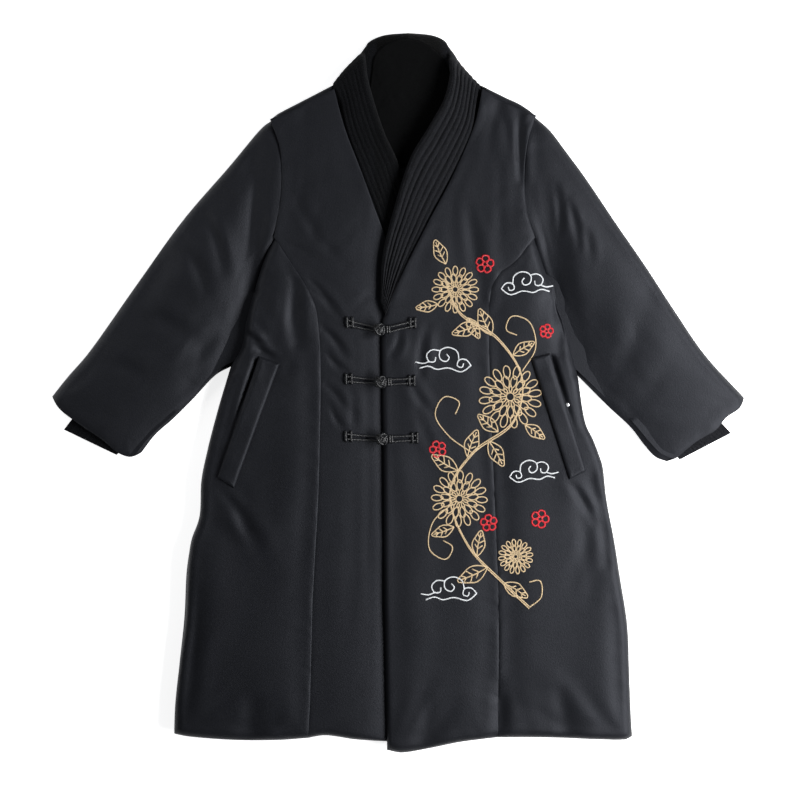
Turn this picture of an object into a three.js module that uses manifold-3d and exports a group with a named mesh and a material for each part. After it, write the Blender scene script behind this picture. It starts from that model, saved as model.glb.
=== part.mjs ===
// Long padded jacket in the east Asian style, laid flat on a surface with its front up.
// Millimetres, +Z up. +Y is the collar end and +X is the wearer's left side.
// The origin lies on the surface, below the middle of the outline.

import * as THREE from "three";
import { mergeVertices } from "three/addons/utils/BufferGeometryUtils.js";
import Module from "manifold-3d";

const wasm = await Module();
wasm.setup();

// Driving sizes
const SEAM_INSET = 0.17;
const BACK_LOFT = 14;
const LAYER_SLIT = 0.6;
const FRONT_BASE = BACK_LOFT + LAYER_SLIT;
const FRONT_LOFT = 17;
const FRONT_TOP = FRONT_BASE + FRONT_LOFT;
const SEAM_PINCH = 6;
const PINCH_REACH = 9;
const ROLL_REACH = 18;
const ROLL_START = 0.3;
const UNDER_BEVEL = 3.5;

// Where the left front lies on the right one
const OVERLAP_CLEARANCE = 0.8;
const OVERLAP_RISE = 6.6;
const OVERLAP_FADE = 85;
const OVERLAP_ROLL_REACH = 14;

const SLEEVE_TOP = 31;
const SLEEVE_WALL = 10;
const SLEEVE_EDGE_HEIGHT = 12;
const ARMHOLE_TROUGH = 11;
const SLEEVE_SLIT = 0.8;
const SLEEVE_MOUTH = 7.6;
const SLEEVE_MOUTH_DEPTH = 92;
const SLEEVE_MOUTH_FADE = 14;
const SLEEVE_HEM_PINCH = 3.5;
const SLEEVE_HEM_REACH = 6;
const SLEEVE_UNDER_ROLL = 11;
const ARMHOLE_REACH = 14.4;

const KNIT_WALL = 2.4;
const KNIT_SLIT = 0.8;
const KNIT_RIB = 0.6;
const KNIT_RIB_COUNT = 14;

const COLLAR_RIDGES = 6;
const COLLAR_RIDGE_HEIGHT = 1.7;
const COLLAR_SPLIT = 0.3;
const COLLAR_CLEARANCE = 0.8;

const LINING_BASE = BACK_LOFT + 0.4;
const LINING_PILE = 2.6;
const WELT_THICKNESS = 4.5;
const WELT_EDGE_SHARE = 0.45;
const WELT_ROLL_REACH = 5;
const WELT_GAP = 0.56;
const LAID_GAP = 0.35;
const FROG_CORD = 3.4;
const FROG_CORD_SPACING = 6.2;
const FROG_PATCH_THICKNESS = 3.6;

// Outline and seam lines, in millimetres on the surface
const line = (...points) => new THREE.CatmullRomCurve3(
  points.map(([x, y]) => new THREE.Vector3(x, y, 0)), false, "centripetal");

const right = {
  shoulder: line([-189.5, 406], [-155, 420], [-127, 437], [-95, 451]),
  armholeUpper: line([-189.5, 406], [-175, 364], [-172, 317], [-175, 277], [-184, 230]),
  armholeLower: line([-184, 230], [-197, 203], [-214.5, 149], [-226, 104], [-233, 65], [-249, 38]),
  princess: line([-184, 230], [-161, 194], [-139, 160], [-124, 130], [-118, 92], [-115, 32],
    [-116, -58], [-119, -163], [-127, -313], [-131, -463], [-134, -518]),
  sideEdge: line([-249, 38], [-268, -26], [-284, -88], [-293, -133], [-296, -188], [-308, -223],
    [-313.5, -265], [-317, -340], [-325.5, -406], [-332, -466], [-334, -512]),
  backEdge: line([-249, 38], [-268, -26], [-284, -88], [-293, -133], [-296.5, -188], [-308.5, -223],
    [-316, -265], [-320, -340], [-327, -406], [-333, -466], [-334, -508]),
  collarSeam: line([-95, 451], [-79, 392], [-56, 332], [-34, 272], [-11, 212], [11, 155], [17, 137]),
  centreEdge: line([17, 137], [22.5, 119], [23, 60], [23, -200], [23, -524]),
  hemSide: line([-334, -512], [-311, -516], [-244, -521], [-176, -521], [-134, -518]),
  hemCentre: line([-134, -518], [-109, -514], [-64, -520], [-19, -523], [23, -524]),
  sleeveTop: line([-189.5, 406], [-202, 397], [-253, 337], [-322, 257], [-391, 161], [-466, 55],
    [-494, 23], [-518, -7]),
  sleeveUnder: line([-249, 38], [-272, 25.5], [-307, -11], [-337, -41], [-364, -65], [-384, -91]),
  sleeveMouth: line([-518, -7], [-505, -26], [-475, -49], [-440, -73], [-418, -92], [-400, -98],
    [-384, -91]),
};

const left = {
  shoulder: line([127, 451], [152, 434.5], [181, 422], [206, 412]),
  armholeUpper: line([206, 412], [194, 374], [189, 328], [192, 271], [205, 230]),
  armholeLower: line([205, 230], [212, 205], [224, 172], [236, 151], [239, 124], [247, 104],
    [256, 70], [269, 25]),
  princess: line([205, 230], [176, 194], [163.5, 184], [153, 177], [145, 164], [140, 151],
    [136.5, 121], [139, -13], [145, -163], [151, -328], [150, -517]),
  sideEdge: line([269, 25], [280, -49], [287, -71], [297.5, -97], [303, -112], [310, -163],
    [322, -221], [331, -278], [343, -350], [346, -425], [349, -497], [351, -516]),
  backEdge: line([269, 25], [281, -49], [291.5, -71], [301.5, -97], [306, -112], [312, -163],
    [323, -221], [332, -278], [343, -350], [346, -425], [349, -490], [350, -511]),
  collarSeam: line([127, 451], [116, 400], [82, 320], [41, 242], [4, 167], [-19, 113]),
  centreEdge: line([-19, 113], [-22, 104], [-22, -13], [-20.5, -88], [-19, -313], [-15, -535]),
  hemCentre: line([-15, -535], [4, -539], [49, -533], [94, -524], [150, -517]),
  hemSide: line([150, -517], [206, -517], [251, -518], [296, -520], [341, -520], [351, -516]),
  sleeveTop: line([206, 412], [228, 392.5], [253, 360], [281, 322], [331, 248], [371, 190],
    [418, 118], [461, 55.5], [520, -9]),
  sleeveUnder: line([269, 25], [316, -22], [351, -55], [371, -81], [387, -98], [404, -105]),
  sleeveMouth: line([520, -9], [511, -25], [491, -39], [476, -57], [447, -75], [418, -99], [404, -105]),
};

const backTop = {
  rightOutline: line([-190, 408], [-176, 419], [-154, 431], [-131, 443], [-109, 454], [-98, 456]),
  neck: line([-98, 456], [-92, 441], [-71, 430], [-22, 425], [16, 423], [54, 425], [98, 431],
    [118, 440], [128, 456]),
  leftOutline: line([128, 456], [140, 452], [161, 442], [184, 431], [207, 414]),
};

const backHem = line([-334, -508], [-311, -512], [-244, -517], [-134, -515], [16, -517], [150, -514],
  [296, -516], [341, -516], [350, -511]);

// Edge of the upper layer where the left front and its collar lie on the right ones
const OVERLAP_EDGE = [
  { x: 68, y: 433 }, { x: 46, y: 392 }, { x: 8, y: 347 }, { x: -10, y: 280 }, { x: -22, y: 205 },
  { x: -25, y: 137 }, { x: -22, y: 107 }, { x: -22, y: -13 }, { x: -20.5, y: -88 },
  { x: -19, y: -313 }, { x: -15, y: -540 },
];

// Highest the lower layer may reach, by its distance past that edge
const TUCK = [
  { past: -48, top: 31.6 }, { past: -30, top: 30 }, { past: -12, top: 26.5 }, { past: 0, top: 24 },
  { past: 45, top: 18 }, { past: 54, top: 17.6 },
];
const TUCK_END = 80;

// Largest soft folds: a trough from one point to another, with its half width and depth
const FOLDS = [
  { fromX: -109, fromY: 70, toX: -74, toY: 107, width: 9, depth: 3 },
  { fromX: -97, fromY: 46, toX: -70, toY: 26, width: 9, depth: 2.4 },
  { fromX: -64, fromY: -118, toX: -79, toY: -373, width: 20, depth: 2.6 },
  { fromX: -232, fromY: -158, toX: -203, toY: -250, width: 14, depth: 3.2 },
  { fromX: -199, fromY: 190, toX: -206, toY: 95, width: 11, depth: 3.4 },
  { fromX: 160, fromY: 418, toX: 151, toY: 228, width: 15, depth: 3.2 },
  { fromX: 112, fromY: 300, toX: 124, toY: 140, width: 13, depth: 2.2 },
  { fromX: 226, fromY: 137, toX: 243, toY: 60, width: 10, depth: 3.6 },
  { fromX: 289, fromY: -133, toX: 312, toY: -255, width: 12, depth: 3.6 },
  { fromX: 266, fromY: -140, toX: 285, toY: -310, width: 14, depth: 2.8 },
  { fromX: 150, fromY: -440, toX: 150, toY: -520, width: 12, depth: 2.4 },
  { fromX: -225, fromY: -440, toX: -221, toY: -522, width: 18, depth: 2.8 },
  { fromX: 244, fromY: -430, toX: 258, toY: -520, width: 18, depth: 2.8 },
  { fromX: 44, fromY: -440, toX: 34, toY: -535, width: 18, depth: 2.6 },
  { fromX: -375, fromY: 108, toX: -305, toY: 78, width: 16, depth: 4 },
  { fromX: -268, fromY: 60, toX: -226, toY: 140, width: 15, depth: 4.4 },
  { fromX: -312, fromY: 18, toX: -262, toY: 92, width: 15, depth: 3.6 },
  { fromX: 246, fromY: 250, toX: 268, toY: 105, width: 17, depth: 5.5 },
  { fromX: 318, fromY: 5, toX: 352, toY: 84, width: 16, depth: 4 },
  { fromX: 352, fromY: -28, toX: 395, toY: 34, width: 15, depth: 3.4 },
];

const cloth = new THREE.MeshStandardMaterial({ color: 0x24262b, roughness: 0.62, metalness: 0 });
const knit = new THREE.MeshStandardMaterial({ color: 0x17181b, roughness: 0.9, metalness: 0 });
const plush = new THREE.MeshStandardMaterial({ color: 0x08090a, roughness: 1, metalness: 0 });
const braid = new THREE.MeshStandardMaterial({ color: 0x1c1d21, roughness: 0.55, metalness: 0 });
const snapMetal = new THREE.MeshStandardMaterial({ color: 0xd9dade, roughness: 0.3, metalness: 0.6 });

const jacket = new THREE.Group();

// Closed surface gathered point by point
class Shell {
  constructor() {
    this.points = [];
    this.faces = [];
  }

  point(x, y, z) {
    this.points.push(x, y, z);
    return this.points.length / 3 - 1;
  }

  quad(a, b, c, d) {
    this.faces.push(a, b, c, a, c, d);
  }

  triangle(a, b, c) {
    this.faces.push(a, b, c);
  }

  geometry() {
    const geometry = new THREE.BufferGeometry();
    geometry.setAttribute("position", new THREE.Float32BufferAttribute(this.points, 3));
    geometry.setIndex(this.faces);
    return geometry;
  }
}

function add(name, geometry, material) {
  const mesh = new THREE.Mesh(geometry, material);
  mesh.name = name;
  jacket.add(mesh);
  return mesh;
}

// Boolean join of closed pieces
function toSolid(geometry) {
  const bare = geometry.clone();
  for (const name of Object.keys(bare.attributes)) {
    if (name !== "position") bare.deleteAttribute(name);
  }
  const merged = mergeVertices(bare, 1e-4);
  return new wasm.Manifold(new wasm.Mesh({
    numProp: 3,
    vertProperties: new Float32Array(merged.attributes.position.array),
    triVerts: new Uint32Array(merged.index.array),
  }));
}

function toGeometry(solid) {
  const mesh = solid.getMesh();
  const geometry = new THREE.BufferGeometry();
  geometry.setAttribute("position", new THREE.BufferAttribute(mesh.vertProperties, 3));
  geometry.setIndex(new THREE.BufferAttribute(mesh.triVerts, 1));
  return geometry;
}

function join(geometries) {
  return toGeometry(geometries.map(toSolid).reduce((sum, piece) => sum.add(piece)));
}

// A side of a panel is a row of stretches; each has its seam line and where it ends along the side
const stretch = (curve, until, edge, from = 0, to = 1) => ({ curve, until, edge, from, to });

function alongSide(side, t) {
  if (typeof side === "function") return side(t);
  let start = 0;
  for (const { curve, until, from, to } of side) {
    if (t <= until + 1e-9) {
      const share = THREE.MathUtils.clamp((t - start) / (until - start), 0, 1);
      return curve.getPointAt(from + (to - from) * share);
    }
    start = until;
  }
  return null;
}

// The same side with straight edges between its stops
function straightened(side, stops) {
  const corners = stops.map((stop) => alongSide(side, stop));
  return (t) => {
    const next = Math.max(stops.findIndex((stop) => stop >= t - 1e-9), 1);
    const share = THREE.MathUtils.clamp((t - stops[next - 1]) / (stops[next] - stops[next - 1]), 0, 1);
    return corners[next - 1].clone().lerp(corners[next], share);
  };
}

// Point of the surface stretched between four sides; u runs along top and bottom, v down the sides
function betweenSides({ start, end, top, bottom }, u, v) {
  const across = alongSide(start, v).multiplyScalar(1 - u).addScaledVector(alongSide(end, v), u);
  const down = alongSide(top, u).multiplyScalar(1 - v).addScaledVector(alongSide(bottom, u), v);
  const corners = alongSide(top, 0).multiplyScalar((1 - u) * (1 - v))
    .addScaledVector(alongSide(top, 1), u * (1 - v))
    .addScaledVector(alongSide(bottom, 0), (1 - u) * v)
    .addScaledVector(alongSide(bottom, 1), u * v);
  return across.add(down).sub(corners);
}

function distanceToSegment(x, y, a, b) {
  const dx = b.x - a.x;
  const dy = b.y - a.y;
  const share = THREE.MathUtils.clamp(((x - a.x) * dx + (y - a.y) * dy) / (dx * dx + dy * dy), 0, 1);
  return { gap: Math.hypot(x - a.x - dx * share, y - a.y - dy * share), share };
}

function distanceToPath(x, y, path) {
  let nearest = Infinity;
  for (let i = 1; i < path.length; i += 1) {
    nearest = Math.min(nearest, distanceToSegment(x, y, path[i - 1], path[i]).gap);
  }
  return nearest;
}

// Share of full loft at a distance from a sewn seam or from a turned edge
const risePast = {
  seam: (distance) => 1 - (SEAM_PINCH / FRONT_LOFT) * Math.exp(-distance / PINCH_REACH),
  turned: (distance, rollReach = ROLL_REACH) => {
    const reach = 1 - Math.min(distance / rollReach, 1);
    return ROLL_START + (1 - ROLL_START) * Math.sqrt(1 - reach * reach);
  },
  none: () => 1,
};

const STRETCH_SAMPLES = 40;

function edgePaths(sides) {
  return Object.values(sides).flat().map(({ curve, edge, from, to }) => {
    const path = [];
    for (let i = 0; i <= STRETCH_SAMPLES; i += 1) {
      path.push(curve.getPointAt(from + (to - from) * (i / STRETCH_SAMPLES)));
    }
    return { path, edge };
  });
}

const riseAt = (paths, x, y) => paths.reduce(
  (rise, { path, edge }) => rise * risePast[edge](distanceToPath(x, y, path)), 1);

const FOLD_END_SHARE = 0.35;
const FOLD_END_STOP = 0.05;

function foldAt(x, y) {
  let depth = 0;
  for (const fold of FOLDS) {
    const { gap, share } = distanceToSegment(x, y, { x: fold.fromX, y: fold.fromY },
      { x: fold.toX, y: fold.toY });
    const along = THREE.MathUtils.clamp(share, FOLD_END_STOP, 1 - FOLD_END_STOP);
    const ends = FOLD_END_SHARE + (1 - FOLD_END_SHARE) * Math.sin(Math.PI * along);
    depth += fold.depth * ends * Math.exp(-((gap / fold.width) ** 2));
  }
  return depth;
}

// Table lookup with straight lines between its rows
function lookUp(table, key, value, at) {
  const rising = table[table.length - 1][key] > table[0][key];
  const rows = rising ? table : [...table].reverse();
  if (at <= rows[0][key]) return rows[0][value];
  for (let i = 1; i < rows.length; i += 1) {
    if (at <= rows[i][key]) {
      const share = (at - rows[i - 1][key]) / (rows[i][key] - rows[i - 1][key]);
      return rows[i - 1][value] + (rows[i][value] - rows[i - 1][value]) * share;
    }
  }
  return rows[rows.length - 1][value];
}

const pastOverlapEdge = (x, y) => x - lookUp(OVERLAP_EDGE, "y", "x", y);
const tuckTop = (x, y) => lookUp(TUCK, "past", "top", pastOverlapEdge(x, y));

// Underside of the upper layer: it follows the tucked layer, then comes down beside it
function upperUnderside(x, y) {
  const past = pastOverlapEdge(x, y);
  const tuckEnd = TUCK[TUCK.length - 1].past;
  const lowering = THREE.MathUtils.smoothstep(past, tuckEnd, TUCK_END);
  return THREE.MathUtils.lerp(tuckTop(x, y) + OVERLAP_CLEARANCE, FRONT_BASE, lowering);
}

// Loops and inset
function loopIndices(columnCount, rowCount) {
  const loop = [];
  for (let j = 0; j < rowCount; j += 1) loop.push([0, j]);
  for (let i = 0; i < columnCount; i += 1) loop.push([i, rowCount]);
  for (let j = rowCount; j > 0; j -= 1) loop.push([columnCount, j]);
  for (let i = columnCount; i > 0; i -= 1) loop.push([i, 0]);
  return loop;
}

// Corner points moved inward by the same distance from both of their edges
function insetLoop(points, inset) {
  const area = THREE.ShapeUtils.area(points);
  const turn = Math.sign(area);
  const mitreLimit = 0.35;
  return points.map((point, index) => {
    const before = points[(index + points.length - 1) % points.length];
    const after = points[(index + 1) % points.length];
    const into = new THREE.Vector2(point.x - before.x, point.y - before.y).normalize();
    const out = new THREE.Vector2(after.x - point.x, after.y - point.y).normalize();
    const normal = new THREE.Vector2(-(into.y + out.y), into.x + out.x).normalize();
    const spread = Math.max(normal.dot(new THREE.Vector2(-into.y, into.x)), mitreLimit);
    return new THREE.Vector2(point.x, point.y).addScaledVector(normal, (turn * inset) / spread);
  });
}

function closeFlat(shell, ring, points, facesUp) {
  for (const [a, b, c] of THREE.ShapeUtils.triangulateShape(points, [])) {
    const upward = THREE.ShapeUtils.area([points[a], points[b], points[c]]) > 0;
    if (upward === facesUp) shell.triangle(ring[a], ring[b], ring[c]);
    else shell.triangle(ring[a], ring[c], ring[b]);
  }
}

// Flat underside: one strip for each row between the two sides, and a fan at either end
function closeLadder(shell, ring) {
  const last = ring.length - 1;
  const width = ring[0].length - 1;
  for (let i = 0; i < width; i += 1) {
    shell.triangle(ring[0][i], ring[0][i + 1], ring[1][0]);
    shell.triangle(ring[last][i + 1], ring[last][i], ring[last - 1][width]);
  }
  shell.triangle(ring[0][width], ring[1][width], ring[1][0]);
  shell.triangle(ring[last][0], ring[last - 1][0], ring[last - 1][width]);
  for (let j = 1; j < last - 1; j += 1) {
    shell.quad(ring[j][0], ring[j][width], ring[j + 1][width], ring[j + 1][0]);
  }
}

// Padded panel over a grid of points. The underside follows a function of its own, or is flat, with
// its border raised where it has a bevel.
function padFromGrid(grid, { topAt, underAt = null, underZ = FRONT_BASE, bevel = 0 }) {
  const rowCount = grid.length - 1;
  const columnCount = grid[0].length - 1;
  const loop = loopIndices(columnCount, rowCount);
  const moved = insetLoop(loop.map(([i, j]) => grid[j][i]), SEAM_INSET);
  loop.forEach(([i, j], index) => {
    grid[j][i].x = moved[index].x;
    grid[j][i].y = moved[index].y;
  });
  const shell = new Shell();
  const top = grid.map((row, j) => row.map(({ x, y }, i) => shell.point(x, y, topAt(x, y, i, j))));
  for (let j = 0; j < rowCount; j += 1) {
    for (let i = 0; i < columnCount; i += 1) {
      shell.quad(top[j][i], top[j + 1][i], top[j + 1][i + 1], top[j][i + 1]);
    }
  }
  const onBorder = (i, j) => i === 0 || j === 0 || i === columnCount || j === rowCount;
  const nextIn = (i, j) => i <= 1 || j <= 1 || i >= columnCount - 1 || j >= rowCount - 1;
  const under = grid.map((row, j) => row.map(({ x, y }, i) => {
    if (underAt) return shell.point(x, y, underAt(x, y));
    const used = bevel > 0 ? nextIn(i, j) : onBorder(i, j);
    return used ? shell.point(x, y, underZ + (onBorder(i, j) ? bevel : 0)) : null;
  }));
  for (let j = 0; j < rowCount; j += 1) {
    for (let i = 0; i < columnCount; i += 1) {
      const borderCell = i === 0 || j === 0 || i === columnCount - 1 || j === rowCount - 1;
      if (underAt || (bevel > 0 && borderCell)) {
        shell.quad(under[j][i], under[j][i + 1], under[j + 1][i + 1], under[j + 1][i]);
      }
    }
  }
  if (!underAt) {
    const kept = bevel > 0 ? under.slice(1, -1).map((row) => row.slice(1, -1)) : under;
    closeLadder(shell, kept);
  }
  const ring = loop.map(([i, j]) => under[j][i]);
  loop.forEach(([i, j], index) => {
    const next = (index + 1) % loop.length;
    const [nextI, nextJ] = loop[next];
    shell.quad(ring[index], ring[next], top[nextJ][nextI], top[j][i]);
  });
  return shell.geometry();
}

const gridOf = (sides, columns, rows) => rows.map((v) => columns.map((u) => betweenSides(sides, u, v)));

// Height of a mesh's highest face over a point of the surface
function heightOver(meshes, x, y) {
  let highest = -Infinity;
  for (const mesh of meshes) {
    const { position } = mesh.geometry.attributes;
    const { array } = mesh.geometry.index;
    for (let k = 0; k < array.length; k += 3) {
      const [a, b, c] = [array[k], array[k + 1], array[k + 2]];
      const [ax, ay] = [position.getX(a), position.getY(a)];
      const [bx, by] = [position.getX(b) - ax, position.getY(b) - ay];
      const [cx, cy] = [position.getX(c) - ax, position.getY(c) - ay];
      const whole = bx * cy - by * cx;
      if (Math.abs(whole) > 1e-6) {
        const shareB = ((x - ax) * cy - (y - ay) * cx) / whole;
        const shareC = (bx * (y - ay) - by * (x - ax)) / whole;
        if (shareB >= -1e-6 && shareC >= -1e-6 && shareB + shareC <= 1 + 1e-6) {
          const z = position.getZ(a) * (1 - shareB - shareC) + position.getZ(b) * shareB
            + position.getZ(c) * shareC;
          highest = Math.max(highest, z);
        }
      }
    }
  }
  return highest;
}

// Front panels
const ARMHOLE_SHARE = 0.19;
const CORNER = 0.42;
const SIDE_ARMHOLE_SHARE = 0.19;
const COLLAR_SHARE = ARMHOLE_SHARE + (1 - ARMHOLE_SHARE) * SIDE_ARMHOLE_SHARE;

// Stops along each seam, shared by the pieces on both of its sides
const UPPER_STOPS = [0, 0.03, 0.1, 0.26, 0.5, 0.76, 1];
const LOWER_STOPS = [0, 0.1, 0.2, 0.32, CORNER, 0.53, 0.68, 0.84, 0.95, 1];
const topStops = LOWER_STOPS.filter((stop) => stop <= CORNER).map((stop) => stop / CORNER);
const topColumns = [0, 0.033, 0.095, ...topStops.slice(1, -1), 0.905, 0.967, 1];
const sideRows = [
  ...LOWER_STOPS.filter((stop) => stop >= CORNER)
    .map((stop) => (SIDE_ARMHOLE_SHARE * (stop - CORNER)) / (1 - CORNER)),
  0.25, 0.32, 0.4, 0.48, 0.56, 0.64, 0.72, 0.8, 0.88, 0.94, 0.975, 0.99, 1];
const frontRows = [
  ...UPPER_STOPS.map((stop) => stop * ARMHOLE_SHARE),
  ...sideRows.slice(1).map((stop) => ARMHOLE_SHARE + (1 - ARMHOLE_SHARE) * stop)];

function centrePanelRight() {
  const sides = {
    start: [stretch(right.armholeUpper, ARMHOLE_SHARE, "seam"), stretch(right.princess, 1, "seam")],
    end: [stretch(right.collarSeam, COLLAR_SHARE, "seam"), stretch(right.centreEdge, 1, "none")],
    top: [stretch(right.shoulder, 1, "seam")],
    bottom: [stretch(right.hemCentre, 1, "turned")],
  };
  const columns = [0, 0.03, 0.09, 0.19, 0.33, 0.47, 0.57, 0.64, 0.7, 0.78, 0.87, 0.95, 0.985, 1];
  const paths = edgePaths(sides);
  return padFromGrid(gridOf(sides, columns, frontRows), {
    topAt: (x, y) => {
      const full = FRONT_BASE + FRONT_LOFT * riseAt(paths, x, y) - foldAt(x, y);
      return Math.min(full, tuckTop(x, y));
    },
  });
}

function centrePanelLeft() {
  const sides = {
    start: [stretch(left.collarSeam, COLLAR_SHARE, "seam"), stretch(left.centreEdge, 1, "none")],
    end: [stretch(left.armholeUpper, ARMHOLE_SHARE, "seam"), stretch(left.princess, 1, "seam")],
    top: [stretch(left.shoulder, 1, "seam")],
    bottom: [stretch(left.hemCentre, 1, "turned")],
  };
  const columns = [0, 0.015, 0.05, 0.12, 0.2, 0.28, 0.36, 0.46, 0.58, 0.7, 0.82, 0.915, 0.97, 1];
  const paths = edgePaths(sides);
  const turnedEdge = edgePaths({ only: [stretch(left.centreEdge, 1, "none")] })[0].path;
  return padFromGrid(gridOf(sides, columns, frontRows), {
    topAt: (x, y) => {
      const under = upperUnderside(x, y);
      const lift = OVERLAP_RISE * (1 - THREE.MathUtils.smoothstep(pastOverlapEdge(x, y), 0, OVERLAP_FADE));
      const full = FRONT_BASE + FRONT_LOFT * riseAt(paths, x, y) + lift - foldAt(x, y);
      const turned = risePast.turned(distanceToPath(x, y, turnedEdge), OVERLAP_ROLL_REACH);
      return under + (full - under) * turned;
    },
    underAt: upperUnderside,
  });
}

function sidePanelRight() {
  const sides = {
    start: [stretch(right.armholeLower, SIDE_ARMHOLE_SHARE, "turned", CORNER, 1),
      stretch(right.sideEdge, 1, "turned")],
    end: [stretch(right.princess, 1, "seam")],
    top: [stretch(right.armholeLower, 1, "turned", CORNER, 0)],
    bottom: [stretch(right.hemSide, 1, "turned")],
  };
  const paths = edgePaths(sides);
  const fromOutside = (stops) => stops.map((stop) => 1 - stop).reverse();
  const placed = { ...sides, top: straightened(sides.top, fromOutside(topStops)) };
  return padFromGrid(gridOf(placed, fromOutside(topColumns), sideRows), {
    topAt: (x, y) => FRONT_BASE + FRONT_LOFT * riseAt(paths, x, y) - foldAt(x, y),
  });
}

function sidePanelLeft() {
  const sides = {
    start: [stretch(left.princess, 1, "seam")],
    end: [stretch(left.armholeLower, SIDE_ARMHOLE_SHARE, "turned", CORNER, 1),
      stretch(left.sideEdge, 1, "turned")],
    top: [stretch(left.armholeLower, 1, "turned", 0, CORNER)],
    bottom: [stretch(left.hemSide, 1, "turned")],
  };
  const paths = edgePaths(sides);
  const placed = { ...sides, top: straightened(sides.top, topStops) };
  return padFromGrid(gridOf(placed, topColumns, sideRows), {
    topAt: (x, y) => FRONT_BASE + FRONT_LOFT * riseAt(paths, x, y) - foldAt(x, y),
  });
}

// Back panel: it lies under the fronts and wraps over both shoulders to meet their seams
function backPanel() {
  const neckFrom = 0.3;
  const neckTo = 0.7;
  const upperShare = 0.2;
  const armholeShare = 0.4;
  const sides = {
    start: [stretch(right.armholeUpper, upperShare, "none"),
      stretch(right.armholeLower, armholeShare, "none"), stretch(right.backEdge, 1, "none")],
    end: [stretch(left.armholeUpper, upperShare, "none"), stretch(left.armholeLower, armholeShare, "none"),
      stretch(left.backEdge, 1, "none")],
    top: [stretch(right.shoulder, neckFrom, "none"), stretch(backTop.neck, neckTo, "none"),
      stretch(left.shoulder, 1, "none")],
    bottom: [stretch(backHem, 1, "none")],
  };
  const outline = [stretch(backTop.rightOutline, neckFrom, "none"), stretch(backTop.neck, neckTo, "none"),
    stretch(backTop.leftOutline, 1, "none")];
  const columns = [0, 0.014, 0.05, 0.12, 0.19, 0.25, 0.285, neckFrom, 0.35, 0.42, 0.5, 0.58, 0.65, neckTo,
    0.715, 0.75, 0.81, 0.88, 0.95, 0.986, 1];
  const rows = [
    ...UPPER_STOPS.slice(2).map((stop) => stop * upperShare),
    ...LOWER_STOPS.slice(1).map((stop) => upperShare + (armholeShare - upperShare) * stop),
    0.5, 0.6, 0.7, 0.8, 0.9, 0.97, 0.99, 1];
  const seamGap = 0.8;
  const lipFoot = 0.2;
  const neckStep = 2.2;
  // Rows across the shoulder lip: share of its width from the outline, and share of its height
  const lipRows = [
    { inward: 0, height: 0 }, { inward: 0.22, height: 0.6 }, { inward: 0.6, height: 0.95 },
    { inward: 1, height: 1 },
  ];
  const lipOf = (u) => {
    if (u > neckFrom && u < neckTo) return 0;
    const alongShoulder = u <= neckFrom ? u / neckFrom : (1 - u) / (1 - neckTo);
    return THREE.MathUtils.smoothstep(alongShoulder, 0.02, 0.2)
      * (1 - THREE.MathUtils.smoothstep(alongShoulder, 0.78, 0.94));
  };
  const seamPoint = (u) => alongSide(sides.top, u);
  const shoulderGrid = lipRows.map(({ inward }, index) => columns.map((u) => {
    const inner = seamPoint(u);
    const outer = alongSide(outline, u);
    const width = Math.max(outer.distanceTo(inner), 1e-6);
    const collapsed = u > neckFrom - 1e-9 && u < neckTo + 1e-9;
    if (collapsed) return inner.clone().add(new THREE.Vector3(0, -neckStep * index, 0));
    return outer.clone().lerp(inner, inward * (1 - seamGap / width));
  }));
  const bodyGrid = rows.map((v) => columns.map((u) => betweenSides(sides, u, v)));
  const seamRow = columns.map((u) => {
    const atNeck = u > neckFrom - 1e-9 && u < neckTo + 1e-9;
    return seamPoint(u).add(new THREE.Vector3(0, atNeck ? -neckStep * lipRows.length : lipFoot, 0));
  });
  const grid = [...shoulderGrid, seamRow, ...bodyGrid];
  const edge = edgePaths({ start: sides.start, end: sides.end, bottom: sides.bottom });
  const edgeHeight = 6;
  const lipHeight = FRONT_TOP - SEAM_PINCH - BACK_LOFT;
  return padFromGrid(grid, {
    topAt: (x, y, i, j) => {
      if (j < lipRows.length) {
        const low = edgeHeight + (BACK_LOFT - edgeHeight) * Math.max(lipRows[j].height, 1 - lipOf(columns[i]));
        return Math.min(low, BACK_LOFT) + lipHeight * lipOf(columns[i]) * lipRows[j].height;
      }
      const distance = Math.min(...edge.map(({ path }) => distanceToPath(x, y, path)));
      const reach = 1 - Math.min(distance / ROLL_REACH, 1);
      return edgeHeight + (BACK_LOFT - edgeHeight) * Math.sqrt(1 - reach * reach);
    },
    underZ: 0,
    bevel: UNDER_BEVEL,
  });
}

// Sleeves and knit cuffs: flattened tubes, open at both ends
function flatTube({ pointAt, stations, across, outerAt, innerAt }) {
  const shell = new Shell();
  const count = across.length - 1;
  const rings = stations.map((t) => {
    const outer = [];
    const inner = [];
    for (let k = 0; k <= count; k += 1) {
      outer.push(outerAt(t, across[k], true, k));
      inner.push(innerAt(t, across[k], true, k));
    }
    for (let k = count - 1; k > 0; k -= 1) {
      outer.push(outerAt(t, across[k], false, k));
      inner.push(innerAt(t, across[k], false, k));
    }
    const place = ({ t: at, w, z }) => {
      const { x, y } = pointAt(at, w);
      return shell.point(x, y, z);
    };
    return { outer: outer.map(place), inner: inner.map(place) };
  });
  const size = 2 * count;
  for (let s = 1; s < rings.length; s += 1) {
    for (let k = 0; k < size; k += 1) {
      const n = (k + 1) % size;
      const [a, b] = [rings[s - 1], rings[s]];
      shell.quad(a.outer[k], b.outer[k], b.outer[n], a.outer[n]);
      shell.quad(a.inner[k], a.inner[n], b.inner[n], b.inner[k]);
    }
  }
  const [first, last] = [rings[0], rings[rings.length - 1]];
  for (let k = 0; k < size; k += 1) {
    const n = (k + 1) % size;
    shell.quad(first.outer[k], first.outer[n], first.inner[n], first.inner[k]);
    shell.quad(last.outer[n], last.outer[k], last.inner[k], last.inner[n]);
  }
  return shell;
}

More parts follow.
